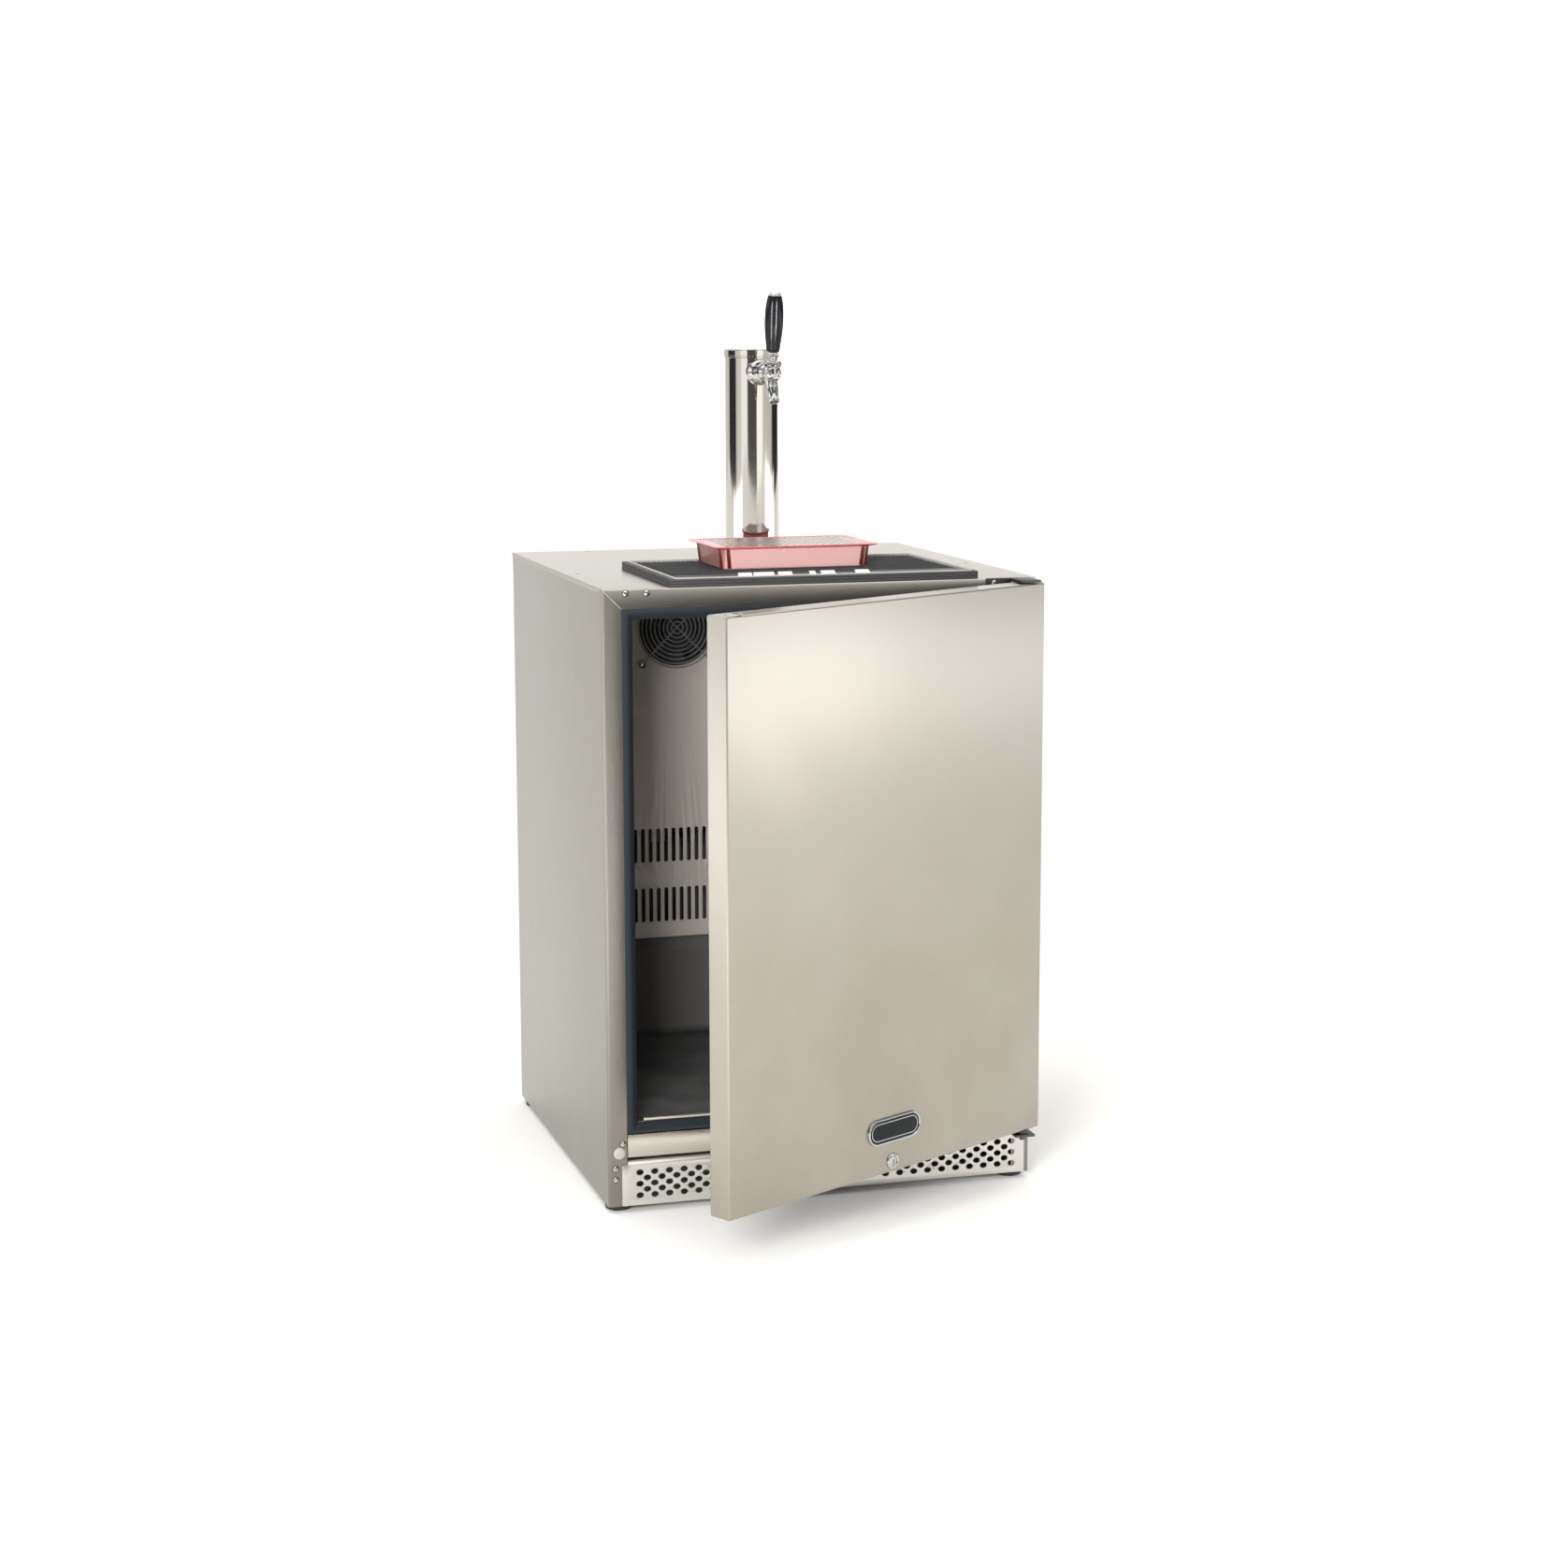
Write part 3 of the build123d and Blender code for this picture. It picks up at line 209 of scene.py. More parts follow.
STEEL = (0.305, 0.292, 0.267)
M = {
    # painted shade: the side panels get darker towards the floor
    "side": brushed("steel_side", STEEL, grain=(2600, 2600, 12), wave=0.001,
        painted_shade=((0.215, 0.206, 0.175), 0.50, 0.08)),
    # painted shade: the top panel's bent-down flanges go darker below its top face
    "top": brushed("steel_top", (0.415, 0.40, 0.365), painted_shade=((0.19, 0.184, 0.172), 0.8345, 0.815)),
    # painted shade: the door skin darkens to a tan towards its bottom
    "door": brushed("steel_door", (0.50, 0.475, 0.43), turn=-DOOR_ANGLE, wave=0.0008,
                    painted_shade=((0.285, 0.262, 0.198), 0.80, 0.10)),
    "trim_steel": brushed("steel_trim", (0.56, 0.53, 0.465), (0.22, 0.32)),
    "grille": brushed("steel_grille", (0.72, 0.70, 0.66), (0.26, 0.36)),
    "grid": brushed("steel_grid", (0.66, 0.65, 0.62), (0.22, 0.34)),
    "cover": brushed("steel_cover", (0.72, 0.655, 0.60), (0.42, 0.52), metallic=0.2),
    "hinge": brushed("steel_hinge", (0.12, 0.12, 0.12), (0.4, 0.5)),
    "polished": brushed("polished_steel", (0.62, 0.60, 0.56), (0.04, 0.07), (1500, 1500, 6), depth=0.002),
    "chrome": polished("chrome", (0.49, 0.49, 0.49), (0.03, 0.06)),
    "guard": brushed("guard_wire", (0.36, 0.35, 0.325), (0.3, 0.4), metallic=0.3),
    "screw": polished("screw_steel", (0.62, 0.61, 0.59), (0.07, 0.14)),
    # painted highlight: light metal for the cap on the tap handle's top
    "tip": polished("tip_metal_painted_highlight", (0.68, 0.67, 0.65), (0.14, 0.2)),
    "lock": polished("lock_chrome", (0.50, 0.49, 0.47), (0.06, 0.12)),
    "copper": polished("copper", (0.72, 0.36, 0.22), (0.2, 0.35)),
    "zinc": cast("zinc_plated", (0.47, 0.47, 0.455), 0.42, 0.9, 120.0, 0.04, 0.86),
    "aluminium": brushed("fin_aluminium", (0.60, 0.61, 0.62), (0.3, 0.45), (30, 30, 900)),
    "enamel": cast("compressor_enamel", (0.012, 0.012, 0.013), 0.32, 0.0, 500.0, 0.06, 1.6),
    "foam": cast("foam", (0.80, 0.70, 0.45), 0.9, 0.0, 260.0, 0.5, 0.8),
    "black": plastic("black_abs", (0.024, 0.028, 0.033), 0.42),
    "frame": plastic("frame_abs", (0.019, 0.023, 0.028), 0.5, 1200.0, 0.03, 1.2, Specular_IOR_Level=0.12),
    # painted shade: the liner goes dark near its floor, below about 0.13 m
    "liner": plastic("liner_abs", (0.135, 0.130, 0.122), 0.5, 700.0, 0.08, 1.1,
                     painted_shade=((0.034, 0.038, 0.040), 0.132, 0.1225), Specular_IOR_Level=0.25),
    "white": plastic("white_nylon", (0.36, 0.345, 0.31), 0.4, lift=1.08),
    "gasket": plastic("gasket_rubber", (0.052, 0.052, 0.054), 0.55, 900.0),
    "foot": plastic("foot_plastic", (0.018, 0.018, 0.019), 0.45, 900.0),
    "rubber": plastic("rubber", (0.040, 0.040, 0.042), 0.60, 900.0, 0.25, 1.25),
    # painted highlight: light grey rubber for the mat's inner lip stands in for the white sheen along its edge
    "rubber_lip_sheen": plastic("rubber_lip_painted_sheen", (0.34, 0.33, 0.31), 0.4, 900.0, 0.1, 1.15),
    "mat_white": plastic("mat_inlay", (0.72, 0.71, 0.68), 0.6, 700.0, 0.15, 1.05),
    "badge": plastic("badge_enamel", (0.008, 0.010, 0.012), 0.30, 500.0, 0.01, 1.3, Specular_IOR_Level=0.15),
    "gloss": plastic("gloss_black", (0.004, 0.004, 0.005), 0.12, 300.0, 0.0, 1.1, Specular_IOR_Level=0.14),
    "tray_rim": plastic("tray_red_rim", (0.66, 0.13, 0.14), 0.2, 300.0, 0.02, 1.1, Transmission_Weight=0.15),
    "tray_deep": plastic("tray_red_deep", (0.10, 0.010, 0.006), 0.25, 300.0, 0.02, 1.1),
}

TRAY = Shader("tray_red_shaded_ends", (0.80, 0.49, 0.46), 0.2, Transmission_Weight=0.2, IOR=1.3)
# painted shade: both end faces of the tray, beyond about 98 mm from its middle, are tinted dark
TRAY.tint(TRAY.away(0), (0.40, 0.20, 0.18), 1.0, 0.0975, 0.1005)
TRAY.roughen(TRAY.noise((1, 1, 1), 60.0, 3.0), 0.16, 0.28)
M["tray"] = TRAY.mat

CARRIED = {
    "foam": "cabinet_foam door_foam",
    "white": "tower_sleeve",
    "rubber": "compressor_grommets",
    "copper": "refrigerant_lines",
}
for key, names in CARRIED.items():
    for node_name in names.split():
        NODES[node_name].data.materials.clear()
        NODES[node_name].data.materials.append(M[key])


# ---------------------------------------------------------------- mesh helpers (millimetres, row frame)
def circle(r, n):
    return [(r * math.cos(2 * math.pi * i / n), r * math.sin(2 * math.pi * i / n)) for i in range(n)]


def filleted(points, radii, steps=5):
    """Open 2-D polyline with its inner corners rounded."""
    pts = [Vector(p) for p in points]
    if not isinstance(radii, (list, tuple)):
        radii = [radii] * (len(pts) - 2)
    out = [pts[0]]
    for p, q, s, r in zip(pts, pts[1:], pts[2:], radii):
        u, v = (p - q).normalized(), (s - q).normalized()
        half = u.angle(v) / 2
        if r <= 0 or half > 1.56:
            out.append(q)
            continue
        cut = min(r / math.tan(half), 0.49 * (p - q).length, 0.49 * (s - q).length)
        r = cut * math.tan(half)
        centre = q + (u + v).normalized() * (r / math.sin(half))
        a, b = q + u * cut - centre, q + v * cut - centre
        out += [centre + (a * (1 - k / steps) + b * (k / steps)).normalized() * r for k in range(steps + 1)]
    return out + [pts[-1]]


def offset(points, distance):
    """Open 2-D polyline moved to its left."""
    out = []
    for i, p in enumerate(points):
        a = (p - points[i - 1]).normalized() if i else (points[1] - p).normalized()
        b = (points[i + 1] - p).normalized() if i + 1 < len(points) else a
        n = (Vector((-a.y, a.x)) + Vector((-b.y, b.x))).normalized()
        out.append(p + n * distance / n.dot(Vector((-a.y, a.x))))
    return out


def rounded_rect(w, d, r, steps=6):
    out = []
    for cx, cy, start in ((1, 1, 0), (-1, 1, 90), (-1, -1, 180), (1, -1, 270)):
        for k in range(steps + 1):
            a = math.radians(start + 90 * k / steps)
            out.append((cx * (w / 2 - r) + r * math.cos(a), cy * (d / 2 - r) + r * math.sin(a)))
    return out


def loft(rings, caps=(True, True), loop=False):
    """Skin through closed rings of 3-D points, ended by caps or running round to its start."""
    bm = bmesh.new()
    rows = [[bm.verts.new(p) for p in ring] for ring in rings]
    n = len(rows[0])
    for a, b in zip(rows, rows[1:] + (rows[:1] if loop else [])):
        for i in range(n):
            j = (i + 1) % n
            bm.faces.new((a[i], a[j], b[j], b[i]))
    if caps[0] and not loop:
        bm.faces.new(rows[0][::-1])
    if caps[1] and not loop:
        bm.faces.new(rows[-1])
    return bm


def lathe(profile, segments=64, closed=False, at=None):
    """Solid of revolution about local Z from (radius, height) points, placed by a matrix."""
    bm = bmesh.new()
    rows = []
    for r, h in profile:
        ring = [(0, 0)] if r < 1e-6 else circle(r, segments)
        rows.append([bm.verts.new((x, y, h)) for x, y in ring])
    pairs = list(zip(rows, rows[1:])) + ([(rows[-1], rows[0])] if closed else [])
    for a, b in pairs:
        for i in range(segments):
            j = (i + 1) % segments
            corners = [a[i % len(a)], a[j % len(a)], b[j % len(b)], b[i % len(b)]]
            face = list(dict.fromkeys(corners))
            if len(face) > 2:
                bm.faces.new(face)
    if at is not None:
        bm.transform(at)
    return bm


def box(x0, x1, y0, y1, z0, z1, bevel=0.0, segments=2):
    bm = bmesh.new()
    bmesh.ops.create_cube(bm, size=1.0)
    bmesh.ops.scale(bm, vec=(x1 - x0, y1 - y0, z1 - z0), verts=bm.verts)
    bmesh.ops.translate(bm, vec=((x0 + x1) / 2, (y0 + y1) / 2, (z0 + z1) / 2), verts=bm.verts)
    if bevel:
        bevel_edges(bm, list(bm.edges), bevel, segments)
    return bm


def bevel_edges(bm, edges, width, segments=2):
    bmesh.ops.bevel(
        bm, geom=edges, offset=width, segments=segments, profile=0.5, affect="EDGES", clamp_overlap=True
    )


def towards(start, way):
    """Local Z laid along a direction, from a start point."""
    return Matrix.Translation(start) @ way.to_track_quat("Z", "Y").to_matrix().to_4x4()


def rod(a, b, r, segments=32, bevel=0.0):
    """Round bar between two points, with rounded rims."""
    a, b = Vector(a), Vector(b)
    length = (b - a).length
    profile = [(0, 0)] + [tuple(p) for p in filleted([(0, 0), (r, 0), (r, length), (0, length)], bevel,
        3)[1:-1]]
    return lathe(profile + [(0, length)], segments, at=towards(a, b - a))


def torus(centre, r, wire, count, segments=10):
    """Wire ring that faces the front."""
    rings = []
    for x, z in circle(r, count):
        out = Vector((x, 0, z)).normalized()
        rings.append([Vector(centre) + Vector((x, 0, z)) + out * u + Vector((0, v, 0)) for u,
            v in circle(wire, segments)])
    return loft(rings, loop=True)


def as_mesh(bm, name="temp"):
    mesh = bpy.data.meshes.new(name)
    bm.to_mesh(mesh)
    bm.free()
    return mesh


def join(*parts):
    """Puts meshes together as one."""
    whole = bmesh.new()
    for part in parts:
        mesh = as_mesh(part)
        whole.from_mesh(mesh)
        bpy.data.meshes.remove(mesh)
    return whole


def copies(bm, matrices):
    """The same mesh at several places."""
    mesh = as_mesh(bm)
    whole = bmesh.new()
    for matrix in matrices:
        copy = bmesh.new()
        copy.from_mesh(mesh)
        copy.transform(matrix)
        whole = join(whole, copy)
    bpy.data.meshes.remove(mesh)
    return whole


def carve(bm, cutter):
    """Cuts one mesh out of another."""
    objects = []
    for part in (bm, cutter):
        bmesh.ops.recalc_face_normals(part, faces=part.faces)
        objects.append(put("temp", as_mesh(part)))
    mod = objects[0].modifiers.new("cut", "BOOLEAN")
    mod.operation = "DIFFERENCE"
    mod.solver = "EXACT"
    mod.object = objects[1]
    graph = bpy.context.evaluated_depsgraph_get()
    mesh = bpy.data.meshes.new_from_object(objects[0].evaluated_get(graph))
    out = bmesh.new()
    out.from_mesh(mesh)
    for obj in objects:
        bpy.data.objects.remove(obj)
    bpy.data.meshes.remove(mesh)
    return out


SHARP_EDGE = math.radians(40.0)
SAME_FACE = math.radians(0.8)
WELD = 1e-6   # metres
FLAT_AREA = 3.0   # square-on faces larger than this (mm2) are shaded flat
SQUARE_ON = 0.99999


def cad_mesh(node):
    """A welded copy of a CAD node with its flat faces whole again, in millimetres."""
    bm = bmesh.new()
    bm.from_mesh(NODES[node].data)
    bmesh.ops.remove_doubles(bm, verts=bm.verts, dist=WELD)
    bmesh.ops.dissolve_limit(bm, angle_limit=SAME_FACE, verts=bm.verts, edges=bm.edges)
    bmesh.ops.scale(bm, vec=(1 / MM,) * 3, verts=bm.verts)
    return bm


def softened(node, width):
    """A CAD node with its sharp edges rounded."""
    bm = cad_mesh(node)
    edges = [e for e in bm.edges if len(e.link_faces) == 2 and e.calc_face_angle(0) > SHARP_EDGE]
    bevel_edges(bm, edges, width)
    return bm


def piece(name, bm, key, replaces=(), angle=38.0, body="cabinet", door=False):
    """Makes the finished object from a mesh in millimetres; edges sharper than angle (degrees) stay sharp."""
    bmesh.ops.recalc_face_normals(bm, faces=bm.faces)
    for face in bm.faces:
        square_on = max(abs(c) for c in face.normal) > SQUARE_ON
        face.smooth = not (face.calc_area() > FLAT_AREA and square_on)
    if door:
        turn = Matrix.Rotation(DOOR_ANGLE, 4, "Z")
        bm.transform(Matrix.Translation(HINGE / MM) @ turn @ Matrix.Translation(-HINGE / MM))
    bm.transform(Matrix.Diagonal((MM, MM, MM, 1)))
    mesh = as_mesh(bm, name)
    mesh.set_sharp_from_angle(angle=math.radians(angle))
    mesh.materials.append(M[key])
    obj = put(name, mesh)
    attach(obj, body)
    if replaces:
        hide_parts(*replaces)
    return obj


def shift(x, y, z):
    return Matrix.Translation((x, y, z))


def spun(step, axis="Z"):
    """Turns about an axis, once every step degrees."""
    return [Matrix.Rotation(math.radians(a), 4, axis) for a in range(0, 360, step)]


def place_y(x, y, z):
    """Local Z of a lathe laid along -Y (it then faces the front)."""
    return shift(x, y, z) @ Matrix.Rotation(math.radians(90), 4, "X")


# ---------------------------------------------------------------- cabinet shell
W, D, TOP, BOTTOM, SHEET = 298.5, 594.0, 836.0, 9.0, 1.0
REAR_BEND, REAR_FLANGE_Z = 1.6, 813.6
FRONT_FLANGE = 26.0
RAIL_HOLES = ((-280, 227), (280, 227), (-189, 578), (189, 578))
RAIL_HOLE_R = 2.75
TOWER_Y = 345.0


def bent_sheet(path, radii, thickness, place, ends, steps=5):
    """Sheet bent along a 2-D path (u, v); place(u, v, w) is its 3-D point and ends(u, v) its extent in w."""
    outer = filleted(path, radii, steps)
    inner = offset(outer, thickness)
    bm = bmesh.new()

    def column(p):
        low_w, high_w = ends(p.x, p.y)
        return [bm.verts.new(place(p.x, p.y, low_w)), bm.verts.new(place(p.x, p.y, high_w))]

    a, b = [column(p) for p in outer], [column(p) for p in inner]
    for i in range(len(a) - 1):
        bm.faces.new((a[i][0], a[i + 1][0], a[i + 1][1], a[i][1]))
        bm.faces.new((b[i][0], b[i][1], b[i + 1][1], b[i + 1][0]))
        bm.faces.new((a[i][0], b[i][0], b[i + 1][0], a[i + 1][0]))
        bm.faces.new((a[i][1], a[i + 1][1], b[i + 1][1], b[i][1]))
    for i in (0, -1):
        bm.faces.new((a[i][0], a[i][1], b[i][1], b[i][0]))
    return bm


def side_panel(sign):
    def ends(x, y):
        high = TOP - SHEET - 0.05
        if y < 2.6:
            high = min(high, TOP - 1.5 - (W - abs(x)))
        if y - (D - REAR_BEND) > max(0.01, 1.7 * (abs(x) - (W - REAR_BEND))):
            high = REAR_FLANGE_Z
        return BOTTOM, high

    path = [(-W + FRONT_FLANGE, 0), (-W, 0), (-W, D), (-W + 20, D)]
    return bent_sheet(path, [4.0, REAR_BEND], -SHEET, lambda u, v, w: (sign * -u, v, w), ends)


def cabinet_shell():
    for sign, side in ((-1, "left"), (1, "right")):
        panel = side_panel(sign)
        inner = box(*sorted((sign * (W - FRONT_FLANGE), sign * (W - FRONT_FLANGE + SHEET))), 0.6, 12, 108.5,
            807.5, 0.25)
        floor = box(*sorted((sign * (W - 2), sign * (W - 48))), 1.5, D - 2, BOTTOM, BOTTOM + 1, 0.3)
        name = f"side_panel_{side}"
        piece(f"{name}_sheet", join(panel, inner, floor), "side", [name])

    def top_ends(y, z):
        x = W
        if y < 3.2:
            x = W - 1.4 - max(0.0, TOP - 3.0 - z) if z < TOP - 3 else W - 0.4
        return -x, x

    path = [(0, 809.5), (0, TOP), (D, TOP), (D, 814)]
    sheet = bent_sheet(path, [3.0, 1.5], -SHEET, lambda u, v, w: (w, u, v), top_ends, 7)
    holes = [rod((x, y, TOP - 6), (x, y, TOP + 6), RAIL_HOLE_R, 24) for x, y in RAIL_HOLES]
    sheet = carve(sheet, join(*holes, rod((0, TOWER_Y, TOP - 6), (0, TOWER_Y, TOP + 6), 28, 64)))
    dimple = [(RAIL_HOLE_R, -0.9), (RAIL_HOLE_R, -0.1), (3.0, 0.12), (3.6, 0.0), (3.6, -0.5)]
    dimples = copies(lathe(dimple, 32, closed=True), [shift(x, y, TOP) for x, y in RAIL_HOLES])
    folds = []
    for sign in (-1, 1):
        rings = []
        for y, low_z in ((1.2, 834.2), (14, 832.2), (32, 830), (300, 830), (D - 0.3, 830)):
            xs = sorted((sign * W, sign * (W + 0.75)))
            section = filleted([(xs[0], low_z), (xs[0], TOP - 0.02), (xs[1], TOP - 0.02), (xs[1], low_z)],
                0.5, 3)
            rings.append([(x, y, z) for x, z in section])
        folds.append(loft(rings))
    # round beads on the real mitre edges, made of the brighter screw steel so they show a bright line: partly a
    # painted highlight
    mitres = [rod((s * (W - 0.9), -0.05, TOP - 1.0), (s * (W - 25.4), -0.05, TOP - 25.6), 0.6, 12)
        for s in (-1, 1)]
    piece("mitre_edges", join(*mitres), "screw")
    piece("top_panel_sheet", join(sheet, dimples, *folds), "top", ["top_panel"])


def simple_softened():
    """CAD pieces that keep their shape and get rounded, light-catching edges."""
    table = [
        ("bottom_rail", 0.45, "cabinet", "trim_steel"),
        ("kick_grille", 0.3, "cabinet", "grille"),
        ("evaporator_cover", 0.35, "cabinet", "cover"),
        ("machine_cover", 0.3, "cabinet", "zinc"),
        ("back_panel", 0.3, "cabinet", "zinc"),
        ("base_pan", 0.3, "cabinet", "zinc"),
        ("front_frame", 0.9, "cabinet", "frame"),
        ("hinge_top", 0.5, "cabinet", "hinge"),
        ("hinge_bottom", 0.5, "cabinet", "hinge"),
        ("lock_catch", 0.3, "cabinet", "zinc"),
        ("thermostat_box", 1.0, "cabinet", "black"),
        ("power_gland", 0.5, "cabinet", "black"),
        ("evap_fan_frame", 0.6, "cabinet", "black"),
        ("condenser_fan_frame", 0.6, "cabinet", "black"),
        ("compressor", 0.5, "cabinet", "enamel"),
        ("inner_liner", 0.8, "cabinet", "liner"),
        ("door_liner", 0.8, "door", "liner"),
        ("thermostat_knob", 0.4, "thermostat", "black"),
        ("drip_grid", 0.25, "grid", "grid"),
    ]
    for node, width, body, key in table:
        piece(f"{node}_form", softened(node, width), key, [node], body=body)


# ---------------------------------------------------------------- door
DX0, DX1, DY0, DY1, DZ0, DZ1 = -298.5, 297.5, -45.0, -12.0, 81.4, 831.4
PLUG_X, HINGE_X, HINGE_Y = -277.0, 276.0, -34.0
LOCK_Z = 95.9
BADGE_X, BADGE_Z = 2, 139.4


def door_shell():
    skin = box(DX0, DX1, DY0, DY1, DZ0, DZ1)
    edges = [e for e in skin.edges if min(v.co.y for v in e.verts) < DY0 + 1]
    bevel_edges(skin, edges, 2.4, 6)
    skin = carve(skin, box(DX0 + 1, DX1 - 1, DY0 + 1, DY1 - 1, DZ0 + 1, DZ1 - 1))
    skin = carve(skin, box(DX0 + 18, DX1 - 18, DY1 - 2, DY1 + 1, DZ0 + 26.6, DZ1 - 18))
    holes = [
        rod((HINGE_X, HINGE_Y, DZ0 - 2), (HINGE_X, HINGE_Y, DZ0 + 3), 7, 32),
        rod((HINGE_X, HINGE_Y, DZ1 - 3), (HINGE_X, HINGE_Y, DZ1 + 2), 7, 32),
        rod((PLUG_X, HINGE_Y, DZ1 - 3), (PLUG_X, HINGE_Y, DZ1 + 2), 7, 32),
        rod((0, DY0 - 2, LOCK_Z), (0, DY1 + 2, LOCK_Z), 9.4, 32),
    ]
    skin = carve(skin, join(*holes))
    piece("door_skin_shell", skin, "door", ["door_skin"], body="door", door=True)


def door_seal():
    """Magnetic gasket: flat foot, hollow bellows and a soft face, mitred at the corners."""
    x, z0, z1 = 275.0, 108.5, 811.0
    profile = [(0, 0), (0, 2.2), (1.6, 3.0), (1.2, 5.2), (0.4, 7.2), (0.6, 10.0), (1.6, 10.7), (7.5, 10.7)]
    profile += [(13.4, 10.7), (14.5, 10.0), (14.8, 7.4), (13.6, 5.6), (13.2, 3.4), (15, 2.4), (15, 0)]
    rings = []
    for sx, sz in ((-1, -1), (1, -1), (1, 1), (-1, 1)):
        ring = []
        for u, h in profile:
            ring.append((sx * (x - u), DY1 + h, z0 + u if sz < 0 else z1 - u))
        rings.append(ring)
    piece("door_seal", loft(rings, loop=True), "gasket", ["door_gasket"], 30, body="door", door=True)


def door_fittings():
    dome = [(0, 2.4), (4, 2.35), (8, 1.9), (10.3, 1.1), (11.4, 0.35), (11.5, 0), (7, 0), (6.8, -10),
        (5.2, -10), (5.0, -1), (0, -1)]
    plug = lathe(dome, 48, at=shift(PLUG_X, HINGE_Y, DZ1))
    piece("door_plug_dome", plug, "chrome", ["door_plug"], body="door", door=True)

    bush = [(4.06, 0), (4.06, 15), (6.6, 15), (7, 14.6), (7, 0.4), (6.6, 0)]
    bushes = copies(lathe(bush, 40, True), [shift(HINGE_X, HINGE_Y, z) for z in (DZ0, DZ1 - 15)])
    piece("door_bushing_pair", bushes, "white", ["door_bushings"], body="door", door=True)

    def stadium(half_l, half_h, y, steps=14):
        pts = []
        for sign in (1, -1):
            for k in range(steps + 1):
                a = math.radians(-90 + 180 * k / steps) if sign > 0 else math.radians(90 + 180 * k / steps)
                pts.append((BADGE_X + sign * (half_l - half_h) + half_h * math.cos(a), y,
                    BADGE_Z + half_h * math.sin(a)))
        return pts

    rim = [(50, 17.5, DY0), (50, 17.5, DY0 - 1.6), (49.6, 17.1, DY0 - 2.5), (48.7, 16.2, DY0 - 3.0)]
    rim += [(47.6, 15.1, DY0 - 2.9), (46.9, 14.4, DY0 - 2.3), (46.6, 14.1, DY0 - 1.4)]
    ring = loft([stadium(*r) for r in rim], caps=(True, False))
    field = loft([stadium(46.7, 14.2, DY0 - 1.2), stadium(46.7, 14.2, DY0 - 1.7),
        stadium(45.6, 13.1, DY0 - 1.9)], (False, True))
    inner = loft([stadium(44.2, 11.7, DY0 - 1.8), stadium(44.2, 11.7, DY0 - 2.35),
        stadium(43.6, 11.1, DY0 - 2.5),
                  stadium(43.0, 10.5, DY0 - 2.35), stadium(43.0, 10.5, DY0 - 1.8)], (False, False))
    piece("badge_rim", join(ring, inner), "chrome", ["door_badge"], 30, body="door", door=True)
    piece("badge_field", field, "badge", body="door", door=True)

    face = [(6.06, 0), (6.06, 2.4), (6.6, 2.9), (9.2, 2.5), (10.4, 1.9), (11, 0.9), (11, 0), (9.4, 0),
        (9.4, -37), (6.06, -37)]
    body = lathe(face, 48, True, at=place_y(0, DY0, LOCK_Z))
    nut = lathe([(9.45, 0), (12, 0), (12.4, 0.6), (12.4, 3.6), (12, 4), (9.45, 4)], 6, True,
        at=place_y(0, DY1 + 4, LOCK_Z))
    piece("lock_housing", join(body, nut), "chrome", ["lock_body"], body="door", door=True)
    plug = rod((0, DY0 - 2, LOCK_Z), (0, DY1 + 4.4, LOCK_Z), 6, 40, 0.5)
    plug = carve(plug, box(-0.7, 0.7, DY0 - 4, DY0 + 8, LOCK_Z - 4.4, LOCK_Z + 2.6, 0.3))
    y = DY1 + 4.4
    cam = box(-7, 22, y, y + 2, LOCK_Z - 4.5, LOCK_Z + 4.5)
    bevel_edges(cam, [e for e in cam.edges if abs(e.verts[0].co.y - e.verts[1].co.y) > 1], 4.0, 6)
    screw = rod((0, y + 2, LOCK_Z), (0, y + 4, LOCK_Z), 4, 6, 0.3)
    piece("lock_plug", join(plug, cam, screw), "lock", ["lock_cylinder"], body="lock", door=True)


# ---------------------------------------------------------------- fasteners and feet
def cross_screw(r=4.0, shank=6.0):
    """Cross-head pan screw on z = 0, head up."""
    head = [(0, 2.6), (r * 0.3, 2.54), (r * 0.6, 2.2), (r * 0.82, 1.6), (r * 0.95, 0.9), (r, 0.25),
        (r * 0.9, 0), (r * 0.45, 0)]
    bm = lathe(head + [(r * 0.45, -shank), (0, -shank)], 32)
    bm = carve(bm, box(-0.5, 0.5, -r * 0.55, r * 0.55, 1.0, 4))
    return carve(bm, box(-r * 0.55, r * 0.55, -0.5, 0.5, 1.0, 4))


def fasteners():
    front = [(-267.1, 830), (-238.8, 830), (-277.8, 95), (-288.2, 61.4), (-288.2, 46.4)]
    places = [place_y(x, 0, z) for x, z in front]
    places += [place_y(FAN_X + sx * FAN_SCREW, COVER_FACE_Y, FAN_Z + sz * FAN_SCREW) for sx in (-1, 1)
        for sz in (-1, 1)]
    screws = copies(cross_screw(), places)
    small = copies(cross_screw(3.6), [place_y(x, -2, 830) for x in (239, 267)])
    flange = []
    for angle in (45, 135, 225, 315):
        a = math.radians(angle)
        x, y = FLANGE_SCREW_R * math.cos(a), TOWER_Y + FLANGE_SCREW_R * math.sin(a)
        flange.append(shift(x, y, FLANGE_TOP) @ Matrix.Rotation(a, 4, "Z"))
    top = copies(cross_screw(4.0, 5.5), flange)
    piece("screw_set", join(screws, small, top), "screw", ["cabinet_screws"])
    # painted shadow: thin dark discs under each screw head stand in for the shade in the gap around it
    shadow_ring = lathe([(0, 0.3), (4.6, 0.3), (4.9, 0.1), (4.9, -0.4), (0, -0.4)], 32)
    piece("screw_seats", copies(shadow_ring, places), "gasket")
    cap = lathe([(0, 2.2), (4, 2.1), (6.6, 1.6), (7.7, 0.7), (8, 0), (4, 0), (3.8, -1), (0, -1)], 48,
        at=place_y(-283, 0, 82.2))
    piece("hinge_hole_cap", cap, "white", ["hole_plug"])


